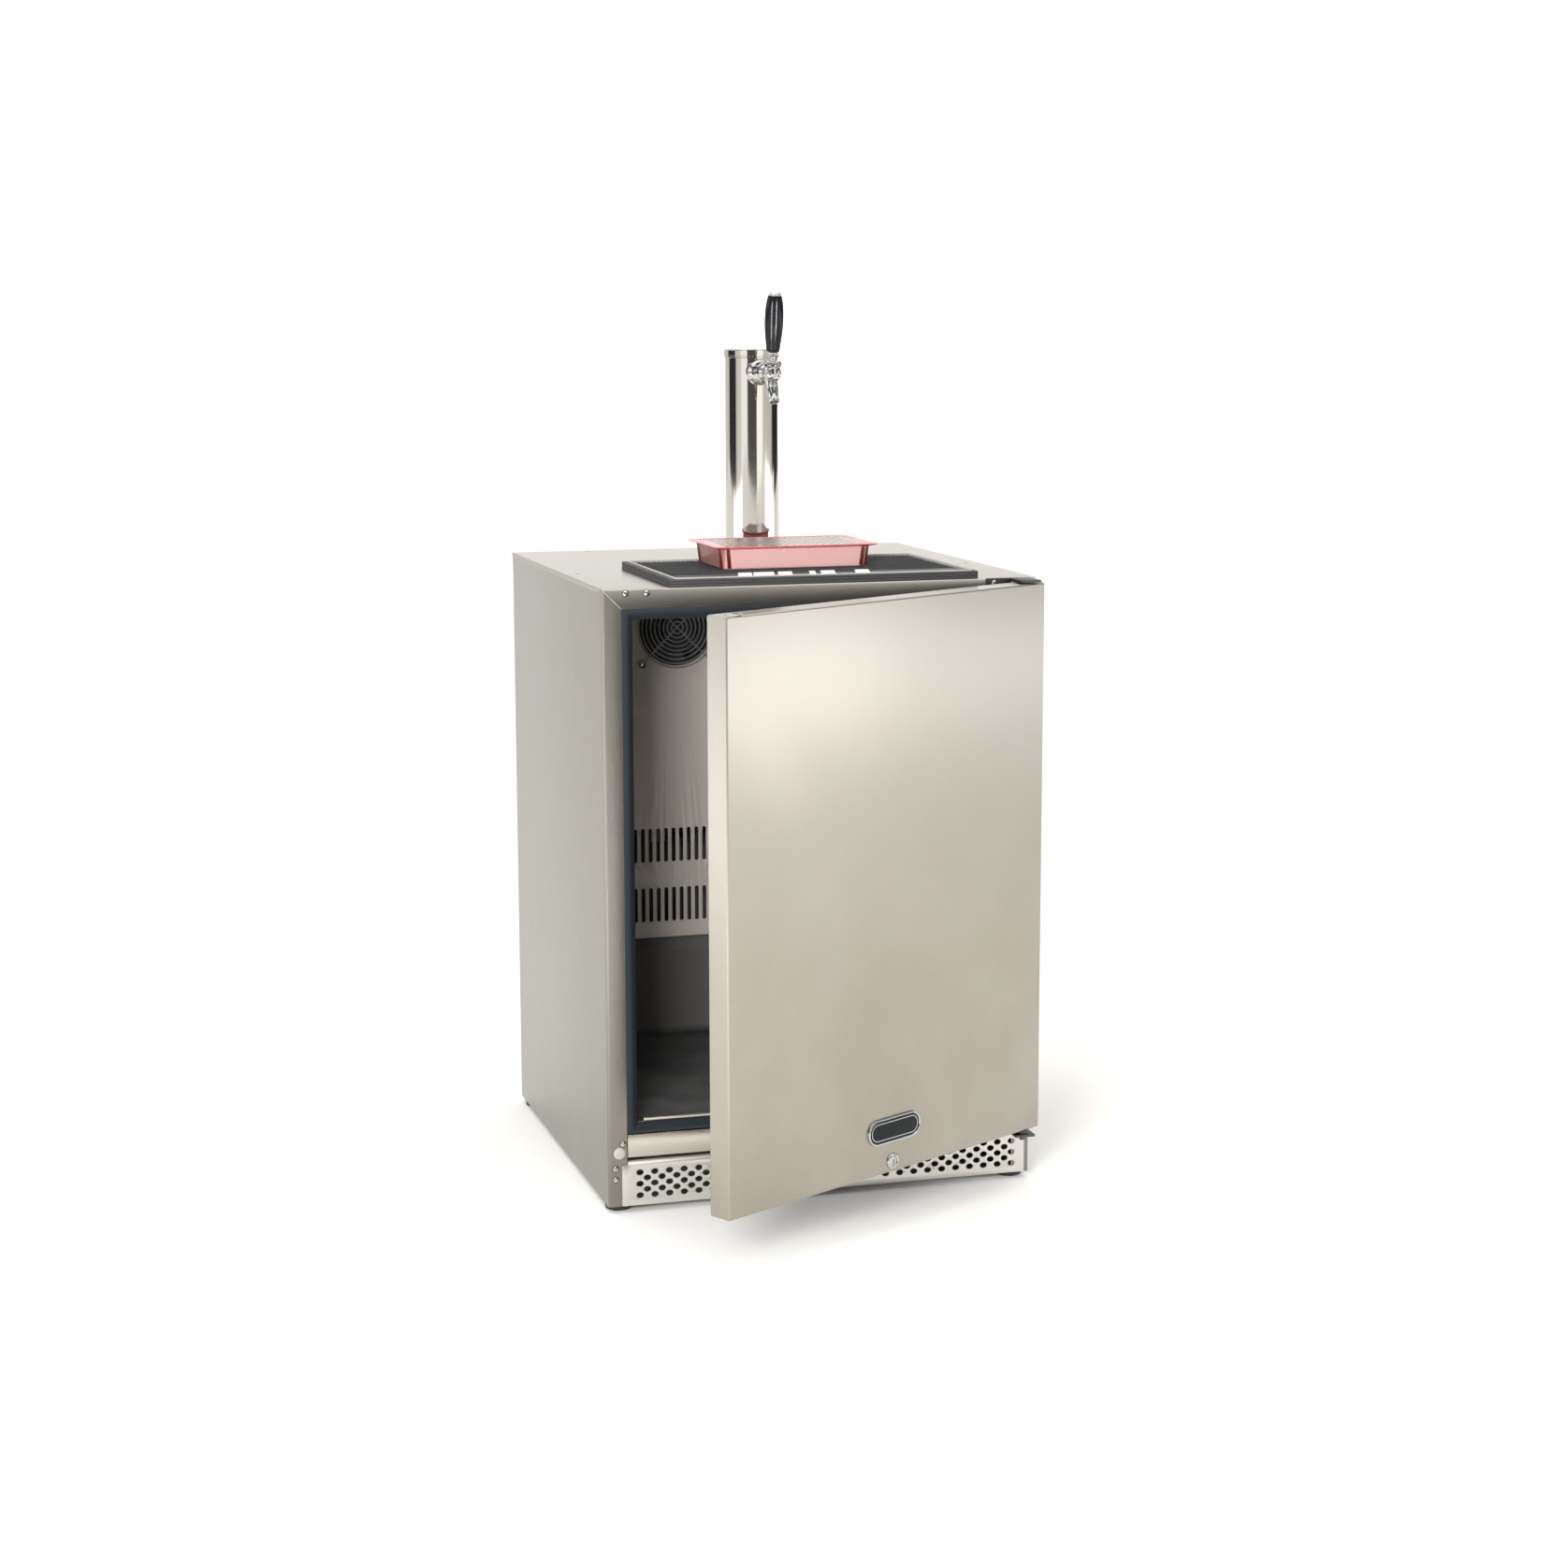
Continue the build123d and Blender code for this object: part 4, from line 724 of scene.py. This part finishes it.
def feet():
    base = [(0, 0), (16.6, 0), (17.7, 0.9), (18, 2.2), (18, 5.2), (17.2, 6.9), (15.4, 7.9), (9, 8.0),
        (8.6, 8.4)]
    base += [(8.2, 8.6), (5.0, 8.7)]
    thread = []
    z = 9.0
    while z < 35.0:
        thread += [(4.62, z), (4.98, z + 0.4)]
        z += 0.8
    profile = base + thread + [(4.6, 35.4), (4.0, 36.0), (0, 36.0)]
    for name, x, y in (("front_left", -279, 28), ("front_right", 279, 28), ("rear_left", -279, 566),
        ("rear_right", 279, 566)):
        foot = lathe(profile, 48)
        ribs = copies(box(13.2, 15.6, -0.8, 0.8, 7.4, 8.2, 0.3), spun(15))
        foot = join(foot, ribs)
        foot.transform(shift(x, y, 0))
        piece(f"glide_{name}", foot, "foot", [f"foot_{name}"], body=f"{name}_foot")


# ---------------------------------------------------------------- cold side
FAN_X, FAN_Z = -85.6, 733.0
FAN_SCREW = 52.5
COVER_FACE_Y = 450


def wire_guard():
    y = 446.6
    parts = [torus((FAN_X, y, FAN_Z), 59 - i * 6.3, 1.1, 96) for i in range(9)]
    for sx in (-1, 1):
        for sz in (-1, 1):
            eye = (FAN_X + sx * FAN_SCREW, y + 1.2, FAN_Z + sz * FAN_SCREW)
            parts.append(torus(eye, 5.3, 1.0, 28))
    d = (FAN_SCREW * math.sqrt(2) - 4.4) / math.sqrt(2)
    for sz in (-1, 1):
        a = (FAN_X - d, y + 1.25, FAN_Z - sz * d)
        b = (FAN_X + d, y + 1.25, FAN_Z + sz * d)
        parts.append(rod(a, b, 1.1, 12, 0.2))
    piece("fan_guard_wires", join(*parts), "guard", ["fan_guard"], 50)


def rotor(tip, hub, depth, blades=7):
    """Axial fan rotor about local Z, with curved, twisted blades."""
    parts = [lathe([(0, -depth / 2), (hub - 2.5, -depth / 2), (hub, -depth / 2 + 2), (hub, depth / 2),
        (0, depth / 2)], 48)]
    steps, chord = 7, 5
    for b in range(blades):
        start = 2 * math.pi * b / blades
        rings = []
        for i in range(steps):
            r = hub - 1 + (tip - hub + 1) * i / (steps - 1)
            sweep = 0.26 * (i / (steps - 1)) ** 1.5
            half = (0.40 - 0.05 * i / (steps - 1)) * hub / r + 0.16
            lift = depth * 0.44
            upper, lower = [], []
            for k in range(chord):
                t = k / (chord - 1) * 2 - 1
                a = start + sweep + half * t
                z = lift * t * (1 - 0.22 * i / (steps - 1)) + 1.2 * (1 - t * t)
                upper.append((r * math.cos(a), r * math.sin(a), z + 0.6))
                lower.append((r * math.cos(a), r * math.sin(a), z - 0.6))
            rings.append(upper + lower[::-1])
        parts.append(loft(rings))
    return join(*parts)


def fans():
    fan = rotor(54, 21, 16)
    fan.transform(shift(FAN_X, 460.4, FAN_Z) @ Matrix.Rotation(math.radians(90), 4, "X"))
    piece("evap_rotor_blades", fan, "black", ["evap_fan_rotor"], 45, body="evaporator_rotor")
    fan = rotor(40, 18, 14)
    fan.transform(shift(-158, 542, 104) @ Matrix.Rotation(math.radians(90), 4, "Y"))
    piece("condenser_rotor_blades", fan, "black", ["condenser_fan_rotor"], 45, body="condenser_rotor")


# ---------------------------------------------------------------- draft tower
FAUCET_Z = 1104.0
FAUCET_Y = 238
TOWER_R, TOWER_BORE_R = 38.1, 36.9
FLANGE_TOP, FLANGE_SCREW_R = 842, 46


def tower():
    ring = lathe([(31, 0), (52, 0), (52, 2), (31, 2)], 72, True, at=shift(0, TOWER_Y, 836))
    piece("tower_gasket_ring", ring, "gasket", ["tower_gasket"])
    profile = [(31, 0), (51.4, 0), (52, 0.5), (52, 2.4), (51.2, 3.6), (49.6, 4.0), (42.8, 4.1), (41.2, 4.6)]
    profile += [(40.7, 5.6), (40.7, 15.2), (40.2, 15.8), (39.4, 16.0), (38.1, 15.9), (38.1, 4), (31, 4)]
    base = lathe(profile, 96, True, at=shift(0, TOWER_Y, 838))
    piece("tower_foot", base, "polished", ["tower_flange"], 30)
    wall = [(TOWER_BORE_R, FLANGE_TOP), (TOWER_R, FLANGE_TOP), (TOWER_R, 1123.4), (37.8, 1123.7)]
    wall += [(37.1, 1123.7), (TOWER_BORE_R, 1123.4)]
    wall = lathe(wall, 128, True, at=shift(0, TOWER_Y, 0))
    wall = carve(wall, rod((0, TOWER_Y - 45, FAUCET_Z), (0, TOWER_Y, FAUCET_Z), 11.1, 48))
    piece("tower_wall", wall, "polished", ["tower_tube"], 30)
    profile = [(34.4, 1118), (36.6, 1118), (36.6, 1124.0), (39.2, 1124.0), (39.8, 1124.5), (39.8, 1124.6),
        (39.8, 1126.2)]
    profile += [(39.8, 1126.3), (39.4, 1126.6), (39.4, 1127.0), (39.8, 1127.3), (39.8, 1127.4),
        (39.8, 1134.4), (39.8, 1134.5)]
    profile += [(39.5, 1135.3), (38.8, 1135.8), (37.8, 1136.0), (36.2, 1135.6), (35.6, 1135.0), (20, 1134.9),
        (0, 1134.9)]
    profile += [(0, 1133.5), (34.4, 1133.5)]
    cap = lathe(profile, 96, True, at=shift(0, TOWER_Y, 0))
    piece("tower_cap_lid", cap, "polished", ["tower_cap"], 30, body="cap")


def faucet():
    def along(profile, y, segments=56, closed=False):
        bm = lathe(profile, segments, closed, at=place_y(0, y, FAUCET_Z))
        return bm

    shank = along([(5, -76), (11.1, -76), (11.1, -46), (10.7, -45.6), (11.1, -45), (11.1, 0), (5, 0)], 276,
        40, True)
    nut = lathe([(11.05, 0), (17.2, 0), (17.9, 0.8), (17.9, 8.2), (17.2, 9), (11.05, 9)], 6, True,
        at=place_y(0, 321.6, FAUCET_Z))
    piece("shank_tube", join(shank, nut), "chrome", ["faucet_shank"])

    profile = [(11.1, 0), (11.1, 22), (13.6, 22), (14.6, 21.4), (15.2, 20.2), (16.6, 18.6), (17.6, 16.4),
        (18, 14), (18, 0)]
    flange = along(profile, 316, 64, True)
    flange = carve(flange, rod((0, TOWER_Y, FAUCET_Z - 30), (0, TOWER_Y, FAUCET_Z + 30), 38.4, 96))
    piece("shank_escutcheon", flange, "chrome", ["shank_flange"], 30)

    profile = [(13, 16.2), (13, 24.4), (11.5, 24.6), (11.5, 26.3), (13.2, 26.5), (14.6, 26.0), (15.5, 24.8)]
    profile += [(15.5, 20.8), (14.9, 20.2), (14.9, 19.4), (15.5, 18.8), (15.5, 4.4), (14.9, 3.8),
        (14.9, 3.0), (15.5, 2.4)]
    profile += [(15.5, 1.2), (14.4, 0), (11.1, 0), (11.1, 16.2)]
    nut = along(profile, 292, 72, True)
    notch = copies(rod((15.9, 5.6, 0), (15.9, 17.6, 0), 2.1, 20), spun(60, "Y"))
    notch.transform(shift(0, 292 - 23.2, FAUCET_Z))
    nut = carve(nut, notch)
    piece("coupling_ring", nut, "chrome", ["coupling_nut"], 30)

    barrel = [(0, 44), (3.2, 43.9), (4.4, 43.3), (4.8, 42.6), (5.6, 42.4), (6.4, 43.0), (7.2, 43.6),
        (8.4, 43.2)]
    barrel += [(9.9, 41.9), (11.0, 39.8), (11.5, 37), (11.5, 27), (11.1, 24), (10.3, 20.5), (9.6, 16),
        (9.8, 12)]
    barrel += [(10.8, 9.2), (12.2, 7.6), (12.8, 6.6), (12.8, 0), (0, 0)]
    body = along(barrel, 270.0, 64)
    boss = lathe([(0, -9), (9.5, -9), (11.4, -5), (11.9, 1), (11.6, 6), (11.2, 8.4), (11.7, 9.2),
        (12.3, 9.9), (12.3, 12), (0, 12)], 64, at=shift(0, FAUCET_Y, FAUCET_Z))
    top, tip = Vector((0, 247, 1098)), Vector((0, 229.7, 1064.9))
    run = tip - top
    length = run.length
    spout = [(9.1, 0.25), (8.7, 0.42), (9.0, 0.45), (9.0, 0.50), (8.3, 0.54), (7.5, 0.80), (7.5, 0.86),
        (8.1, 0.885)]
    spout += [(8.2, 0.93), (7.6, 0.955), (7.5, 0.985), (7.1, 1), (5.4, 1), (5.0, 0.97), (5.0, 0.5), (0, 0.5)]
    spout = [(0, -6), (8.8, -6), (9.2, 0)] + [(r, length * part) for r, part in spout]
    nose = lathe(spout, 56, at=towards(top, run))
    piece("faucet_casting", join(body, boss, nose), "chrome", ["faucet_body"], 32)

    profile = [(6.85, 0), (6.85, 5.3), (9.8, 5.3), (11.4, 4.9), (12.6, 3.9), (13, 2.9), (13, 1.0),
        (12.5, 0.2), (12, 0)]
    bonnet = lathe(profile, 72, True)
    knurl = copies(rod((13.3, 0, -1), (13.3, 0, 3.2), 0.75, 10), spun(15))
    bonnet = carve(bonnet, knurl)
    bonnet.transform(shift(0, FAUCET_Y, 1116))
    piece("bonnet_ring", bonnet, "chrome", ["lever_bonnet"], 30)

    lean = shift(0, FAUCET_Y, 1119) @ Matrix.Rotation(math.radians(8), 4, "X")
    ball = [(0, -17), (1.7, -16.6), (2.4, -14.8), (2.1, -12.6), (2.0, -7.4)]
    for a in range(-70, 61, 10):
        ball.append((6.5 * math.cos(math.radians(a)), 6.5 * math.sin(math.radians(a))))
    stem = [(3.3, 6.4), (3.2, 8.2), (4.2, 9.0), (6.3, 9.5), (7, 10.4), (7, 11.4), (6.6, 11.9), (6.6, 12.5),
        (7, 13.0), (7, 14.4)]
    stem += [(6.4, 15.2), (3.5, 15.4), (3.5, 25.6), (3, 26), (0, 26)]
    lever = lathe(ball + stem, 48, at=lean)
    piece("lever_stem", lever, "chrome", ["lever"], 40, body="tap_lever")

    shaft = rod((0, 231, FAUCET_Z), (0, 266, FAUCET_Z), 5.94, 40, 0.6)
    shaft = carve(shaft, box(-8, 8, 234.2, 244.6, FAUCET_Z - 3, FAUCET_Z + 8))
    piece("valve_stem", shaft, "chrome", ["valve_shaft"], body="valve")

    h = 80.5   # handle length
    keys = [(8.6, 0.0), (9.3, 1.0), (10.4, 0.12 * h), (11.7, 0.25 * h), (12.7, 0.38 * h), (13.15, 0.5 * h),
        (13.1, 0.6 * h)]
    keys += [(12.7, 0.71 * h), (11.9, 0.81 * h), (10.7, 0.895 * h), (9.4, 0.945 * h), (8.2, 0.963 * h)]
    side = smooth(keys, 6)
    grip = lathe([(3.6, 11.5), (3.6, 0.4), (4.2, 0)] + side + [(0, 0.963 * h)], 72)
    bmesh.ops.contextual_create(grip, geom=[e for e in grip.edges if e.is_boundary])
    grip.transform(lean @ shift(0, 0, 15.5))
    piece("handle_grip", grip, "gloss", ["tap_handle"], 50, body="tap_lever")
    # painted highlight: a light metal cap on the grip's top stands in for the bright highlight on its dome
    tip_profile = [(8.4, 0.950 * h), (8.9, 0.958 * h), (8.8, 0.972 * h), (8.0, 0.992 * h), (6.4, 1.010 * h)]
    tip_profile += [(4.2, 1.021 * h), (2.0, 1.026 * h), (0, 1.027 * h)]
    cap = lathe(tip_profile, 56, at=lean @ shift(0, 0, 15.5))
    piece("handle_tip", cap, "tip", (), 50, body="tap_lever")


def smooth(keys, steps):
    """Catmull-Rom curve through 2-D points."""
    pts = [Vector(k) for k in keys]
    pts = [2 * pts[0] - pts[1]] + pts + [2 * pts[-1] - pts[-2]]
    out = []
    for a, b, c, d in zip(pts, pts[1:], pts[2:], pts[3:]):
        for k in range(steps):
            t = k / steps
            p = 0.5 * ((2 * b) + (c - a) * t + (2 * a - 5 * b + 4 * c - d) * t * t + (3 * b - a - 3 * c + d) * t ** 3)
            out.append((p.x, p.y))
    return out + [tuple(pts[-2])]


# ---------------------------------------------------------------- serving set
MAT = (7.0, 145.5, 424.0, 285.0)   # middle x and y, width, depth
TRAY_Y = 192
BAR_DEPTH = 52.0


def mat_and_tray():
    cx, cy, w, d = MAT
    z = TOP

    def ring(inset, height, r):
        return [(cx + x, cy + y, z + height) for x, y in rounded_rect(w - 2 * inset, d - 2 * inset, r, 5)]

    profile = [(0.6, 0, 3), (0, 0.5, 3), (0, 3.0, 3), (0.7, 3.4, 3), (0.7, 3.9, 3), (0, 4.3, 3), (0, 6.6, 3),
        (0.7, 7.0, 3), (0.7, 7.4, 3)]
    profile += [(0, 7.8, 3), (0.1, 9.3, 3), (0.8, 10, 3), (7.2, 10, 2.4), (7.9, 9.6, 2.4), (8.4, 8.6, 2.2),
        (9.0, 4.6, 2), (9.4, 4.5, 2)]
    base = loft([ring(*p) for p in profile])
    nubs = bmesh.new()
    pitch, row = 7.0, 7.0 * 0.866
    cols, rows = int((w - 24) / pitch), int((d - 24) / row)
    for j in range(rows + 1):
        y = cy + (j - rows / 2) * row
        for i in range(cols + 1):
            x = cx + (i - cols / 2) * pitch + (pitch / 2 if j % 2 else 0)
            if abs(x - cx) > w / 2 - 12.5 or y < cy - d / 2 + 70:
                continue
            low = [nubs.verts.new((x + px, y + py, z + 4.4)) for px, py in circle(2.3, 6)]
            high = [nubs.verts.new((x + px, y + py, z + 9.0)) for px, py in circle(1.5, 6)]
            nubs.faces.new(high)
            for k in range(6):
                m = (k + 1) % 6
                nubs.faces.new((low[k], low[m], high[m], high[k]))
    strip = box(cx - w / 2 + 9.2, cx + w / 2 - 9.2, cy - d / 2 + 9.2, cy - d / 2 + 67, z + 4, z + 8.6, 0.8)
    piece("bar_mat_body", join(base, nubs, strip), "rubber", ["bar_mat"], 25, body="mat")
    # a raised ring along the mat's inner edge; its light grey colour is a painted highlight
    lip = []
    for inset, height, r in ((6.6, 9.5, 2.4), (6.7, 11.1, 2.4), (7.2, 11.5, 2.4), (8.8, 11.5, 2.2),
        (9.4, 11.0, 2.2), (9.5, 8.0, 2.2)):
        lip.append(ring(inset, height, r))
    piece("bar_mat_lip", loft(lip, (False, False)), "rubber_lip_sheen", (), 25, body="mat")
    bars = []
    y0, slant = cy - d / 2 + 12.5, 13.0
    for x0, x1 in ((-110.5, -91.5), (-89.5, -61.0), (-55.5, -36.0), (-12.0, -3.5), (4.0, 23.5), (52.0, 71.5)):
        bar = box(x0, x1, y0, y0 + BAR_DEPTH, z + 7.0, z + 10.6, 0.4)
        for vert in bar.verts:
            vert.co.x += slant * (vert.co.y - y0) / BAR_DEPTH
        bars.append(bar)
    piece("bar_mat_bars", join(*bars), "mat_white", body="mat")

    def tray_ring(tw, td, r, height):
        return [(x, TRAY_Y + y, height) for x, y in rounded_rect(tw, td, r, 8)]

    z0, z1 = 845.3, 876.7
    wall = [(196, 121, 9, z0 + 0.6), (199, 124, 10.5, z0), (202, 127, 12, z0 + 1.2),
        (203.5, 128.5, 12, z0 + 4)]
    wall += [(211, 136, 13, z1 - 4.4), (208, 133, 11, z1 - 4.0), (205.4, 130.4, 9.8, z1 - 2.2),
        (200.5, 125.5, 9.5, z1 - 2.5)]
    wall += [(196, 121, 9, z0 + 5), (193, 118, 8, z0 + 3), (188, 113, 8, z0 + 2.5)]
    shell = loft([tray_ring(*r) for r in wall])
    rim = [(205.6, 130.6, 9.8, z1 - 2.1), (211.2, 136.2, 13, z1 - 4.5), (214, 138, 12, z1 - 4.0),
        (220, 143, 9, z1 - 3.0)]
    rim += [(229, 150, 7, z1 - 1.8), (231.4, 152.4, 6.5, z1 - 1.2), (231.8, 152.8, 6.5, z1 - 0.6),
        (230.6, 151.6, 6.5, z1 - 0.1)]
    rim += [(228, 149, 7, z1), (208.0, 133.0, 11, z1), (206.2, 131.2, 10.2, z1 - 0.5),
        (205.6, 130.6, 9.8, z1 - 2.1)]
    edge = loft([tray_ring(*r) for r in rim], (False, False))
    ribs = []
    for sx in (-1, 1):
        for sy in (-1, 1):
            for px, py in ((sx * 94.2, sy * 65.6), (sx * 102.9, sy * 57.0)):
                ribs.append(rod((px * 0.985, TRAY_Y + py * 0.985, z0 + 1.6),
                    (px * 1.012, TRAY_Y + py * 1.018, z1 - 3.2), 2.5, 12, 0.6))
    piece("drip_tray_shell", shell, "tray", ["drip_tray"], 30, body="tray")
    piece("drip_tray_rim", edge, "tray_rim", (), 30, body="tray")
    piece("drip_tray_ribs", join(*ribs), "tray_deep", (), 30, body="tray")


# ---------------------------------------------------------------- machine compartment
def ledge():
    """Closing strip between the step at the back of the liner and the cover above it."""
    strip = box(-255.5, 255.5, 469.8, 471.5, 248.0, 272.4, 0.3)
    piece("liner_closing_strip", strip, "liner")


def sill():
    """Sill strip with a small upturned lip behind the frame."""
    flat, lip = box(-255.5, 255.5, 10.2, 28, 121, 122, 0.3), box(-247, 247, 10.2, 12.0, 121, 126.4, 0.5)
    piece("sill_strip_bent", join(flat, lip), "trim_steel", ["sill_strip"])


def coils():
    for name in ("evaporator", "condenser"):
        piece(f"{name}_fins", cad_mesh(f"{name}_coil"), "aluminium", [f"{name}_coil"], 30)


cabinet_shell()
simple_softened()
door_shell()
door_seal()
door_fittings()
fasteners()
feet()
wire_guard()
fans()
tower()
faucet()
mat_and_tray()
ledge()
sill()
coils()


# ---------------------------------------------------------------- studio
def make_camera():
    place = Vector((-1.1407, -3.7400, 1.2098))
    yaw, pitch, roll = 0.2828, 0.1627, -0.002
    look = Vector((math.sin(yaw) * math.cos(pitch), math.cos(yaw) * math.cos(pitch), -math.sin(pitch)))
    data = bpy.data.cameras.new("camera")
    data.lens = 68.3
    data.sensor_width = 36.0
    data.clip_start = 0.05
    camera = put("camera", data)
    camera.rotation_mode = "QUATERNION"
    camera.location = place
    camera.rotation_quaternion = look.to_track_quat("-Z", "Y") @ Matrix.Rotation(roll, 3, "Z").to_quaternion()
    bpy.context.scene.camera = camera


def paper(name, **sockets):
    s = Shader(name, (0.88, 0.875, 0.86), 0.9, **sockets)
    s.tint(s.noise((1, 1, 1), 2.0, 2.0), (0.865, 0.86, 0.845), 0.5)
    return s.mat


def make_floor():
    """Pale paper floor; its far part sweeps up and only the camera sees it."""
    near, far, far_height = 14.0, 80.0, 48.0
    corners = [(-1, -1), (1, -1), (1, 1), (-1, 1)]
    points = [(x * r, y * r, z) for r, z in ((near, 0), (far, far_height)) for x, y in corners]
    strips = [(k, k + 4, (k + 1) % 4 + 4, (k + 1) % 4) for k in range(4)]
    flat = paper("floor_paper")
    sweep = paper("sweep_paper", Emission_Color=(1, 1, 1, 1), Emission_Strength=1.0)
    for name, faces, material in (("floor", [(0, 1, 2, 3)], flat), ("floor_far", strips, sweep)):
        mesh = bpy.data.meshes.new(name)
        mesh.from_pydata(points, [], faces)
        floor = put(name, mesh)
        seen_by_all = name == "floor"
        floor.visible_glossy = floor.visible_diffuse = floor.visible_shadow = seen_by_all
        mesh.materials.append(material)


def area_light(name, place, target, size, radiance, glossy=True):
    """Rectangular light panel of an even brightness, unseen by the camera."""
    data = bpy.data.lights.new(name, "AREA")
    data.shape = "RECTANGLE"
    data.size, data.size_y = size
    data.energy = radiance * math.pi * size[0] * size[1]
    light = put(name, data)
    light.location = place
    light.rotation_mode = "QUATERNION"
    light.rotation_quaternion = (Vector(target) - Vector(place)).to_track_quat("-Z", "Y")
    light.visible_camera = False
    light.visible_glossy = glossy
    return light


def flag(name, left, right, low, high):
    """Black flag that only shows in reflections."""
    (x0, y0), (x1, y1) = left, right
    mesh = bpy.data.meshes.new(name)
    mesh.from_pydata([(x0, y0, low), (x1, y1, low), (x1, y1, high), (x0, y0, high)], [], [(0, 1, 2, 3)])
    panel = put(name, mesh)
    mesh.materials.append(Shader("flag_cloth", (0.01, 0.01, 0.01), 0.9).mat)
    panel.visible_camera = panel.visible_diffuse = panel.visible_shadow = False


def only_on(name, light, targets):
    """Keeps a light on a few pieces."""
    chosen = bpy.data.collections.new(name)
    for target in targets:
        chosen.objects.link(bpy.data.objects[target])
    light.light_linking.receiver_collection = chosen


def ramp(tree, value, stops):
    """Grey levels along a value from 0 to 1."""
    made = tree.nodes.new("ShaderNodeFloatCurve")
    top = max(level for _, level in stops)
    curve = made.mapping.curves[0]
    made.mapping.use_clip = False
    while len(curve.points) < len(stops):
        curve.points.new(0.5, 0.5)
    for point, (place, level) in zip(curve.points, sorted(stops)):
        point.location = (place, level / top)
        point.handle_type = "VECTOR"
    made.mapping.update()
    tree.links.new(value, made.inputs["Value"])
    scale = tree.nodes.new("ShaderNodeMath")
    scale.operation = "MULTIPLY"
    scale.inputs[1].default_value = top
    tree.links.new(made.outputs["Value"], scale.inputs[0])
    return scale.outputs[0]


def make_world():
    """White studio: soft light by height, with narrow dark flats and bright panels along the horizon."""
    world = bpy.data.worlds.new("studio")
    bpy.context.scene.world = world
    world.use_nodes = True
    tree = world.node_tree
    coords = tree.nodes.new("ShaderNodeTexCoord").outputs["Generated"]
    around = tree.nodes.new("ShaderNodeTexGradient")
    around.gradient_type = "RADIAL"
    tree.links.new(coords, around.inputs["Vector"])
    split = tree.nodes.new("ShaderNodeSeparateXYZ")
    tree.links.new(coords, split.inputs[0])
    up = tree.nodes.new("ShaderNodeMapRange")
    up.inputs["From Min"].default_value = -1.0
    tree.links.new(split.outputs["Z"], up.inputs["Value"])

    def bearing(degrees):
        """Place on the ramp of a direction: 0 is the front, 90 the right side."""
        return (degrees / 360 + 0.25) % 1.0

    horizon = [(-180, 1.0), (-150, 0.85), (-129, 0.8), (-125, 0.04), (-89, 0.04), (-84, 0.85), (-64, 1.0)]
    horizon += [(-58, 1.4), (-36, 1.4), (-32, 0.10), (3, 0.10), (7, 1.6), (29, 1.55), (35, 0.82), (76, 0.75),
        (82, 0.03)]
    horizon += [(124, 0.03), (129, 1.6), (148, 1.35), (179, 1.35)]
    middle = [(-180, 1.2), (-150, 0.9), (-140, 0.8), (-118, 1.8), (-95, 1.8), (-80, 0.2), (-60, 0.15),
        (-52, 1.6), (-44, 1.6)]
    middle += [(-38, 0.12), (4, 0.12), (10, 1.8), (22, 1.8), (30, 0.2), (58, 0.4), (110, 0.6), (125, 1.3),
        (179, 1.35)]

    def ring(flats):
        stops = sorted((bearing(a), level) for a, level in flats)
        level = stops[0][1]
        return ramp(tree, around.outputs["Fac"], [(0.0, level)] + stops[1:] + [(1.0, level)])

    def over(low_layer, high_layer, stops):
        """High layer over the low one, where the ramp by height is 1."""
        mix = tree.nodes.new("ShaderNodeMix")
        tree.links.new(ramp(tree, up.outputs["Result"], stops), mix.inputs[0])
        tree.links.new(low_layer, mix.inputs[2])
        tree.links.new(high_layer, mix.inputs[3])
        return mix.outputs[0]

    sky = ramp(tree, up.outputs["Result"], [(0, 1.0), (0.5, 1.0), (0.60, 0.25), (0.80, 0.25), (0.86, 1.85),
        (1.0, 1.85)])
    light = over(sky, ring(middle), [(0, 0), (0.5, 0), (0.52, 1), (0.68, 1), (0.76, 0), (1, 0)])
    light = over(light, ring(horizon), [(0, 0), (0.44, 0), (0.455, 1), (0.508, 1), (0.525, 0), (1, 0)])
    back = tree.nodes["Background"]
    back.inputs["Color"].default_value = (1.0, 0.985, 0.955, 1)
    tree.links.new(light, back.inputs["Strength"])


make_camera()
make_floor()
make_world()
area_light("door_box", (2.5, -1.5, 0.62), (0.1, -0.3, 0.7), (1.3, 0.36), 1.55)
area_light("door_wide_box", (2.6, -0.7, 0.62), (0.2, -0.1, 0.7), (2.4, 0.36), 1.2)
area_light("edge_box", (-2.6, -0.2, 0.40), (-0.2, -0.2, 0.45), (2.2, 0.75), 1.0)
area_light("fill_box", (-1.5, -2.7, 1.25), (-0.2, 0.3, 0.5), (0.9, 0.9), 44.0, glossy=False)
grip_right = area_light("grip_box_right", (0.27, -1.15, 0.90), (0.0, 0.24, 1.15), (0.10, 0.9), 150.0)
grip_left = area_light("grip_box_left", (-1.05, -0.75, 0.90), (0.0, 0.24, 1.15), (0.20, 0.9), 60.0)
only_on("grip_lit", grip_right, ["handle_grip"])
only_on("grip_lit_left", grip_left, ["handle_grip"])
flag("flange_flag", (0.2, -5.4), (3.2, -4.2), 0.06, 0.46)
bpy.context.scene.view_settings.view_transform = "Standard"
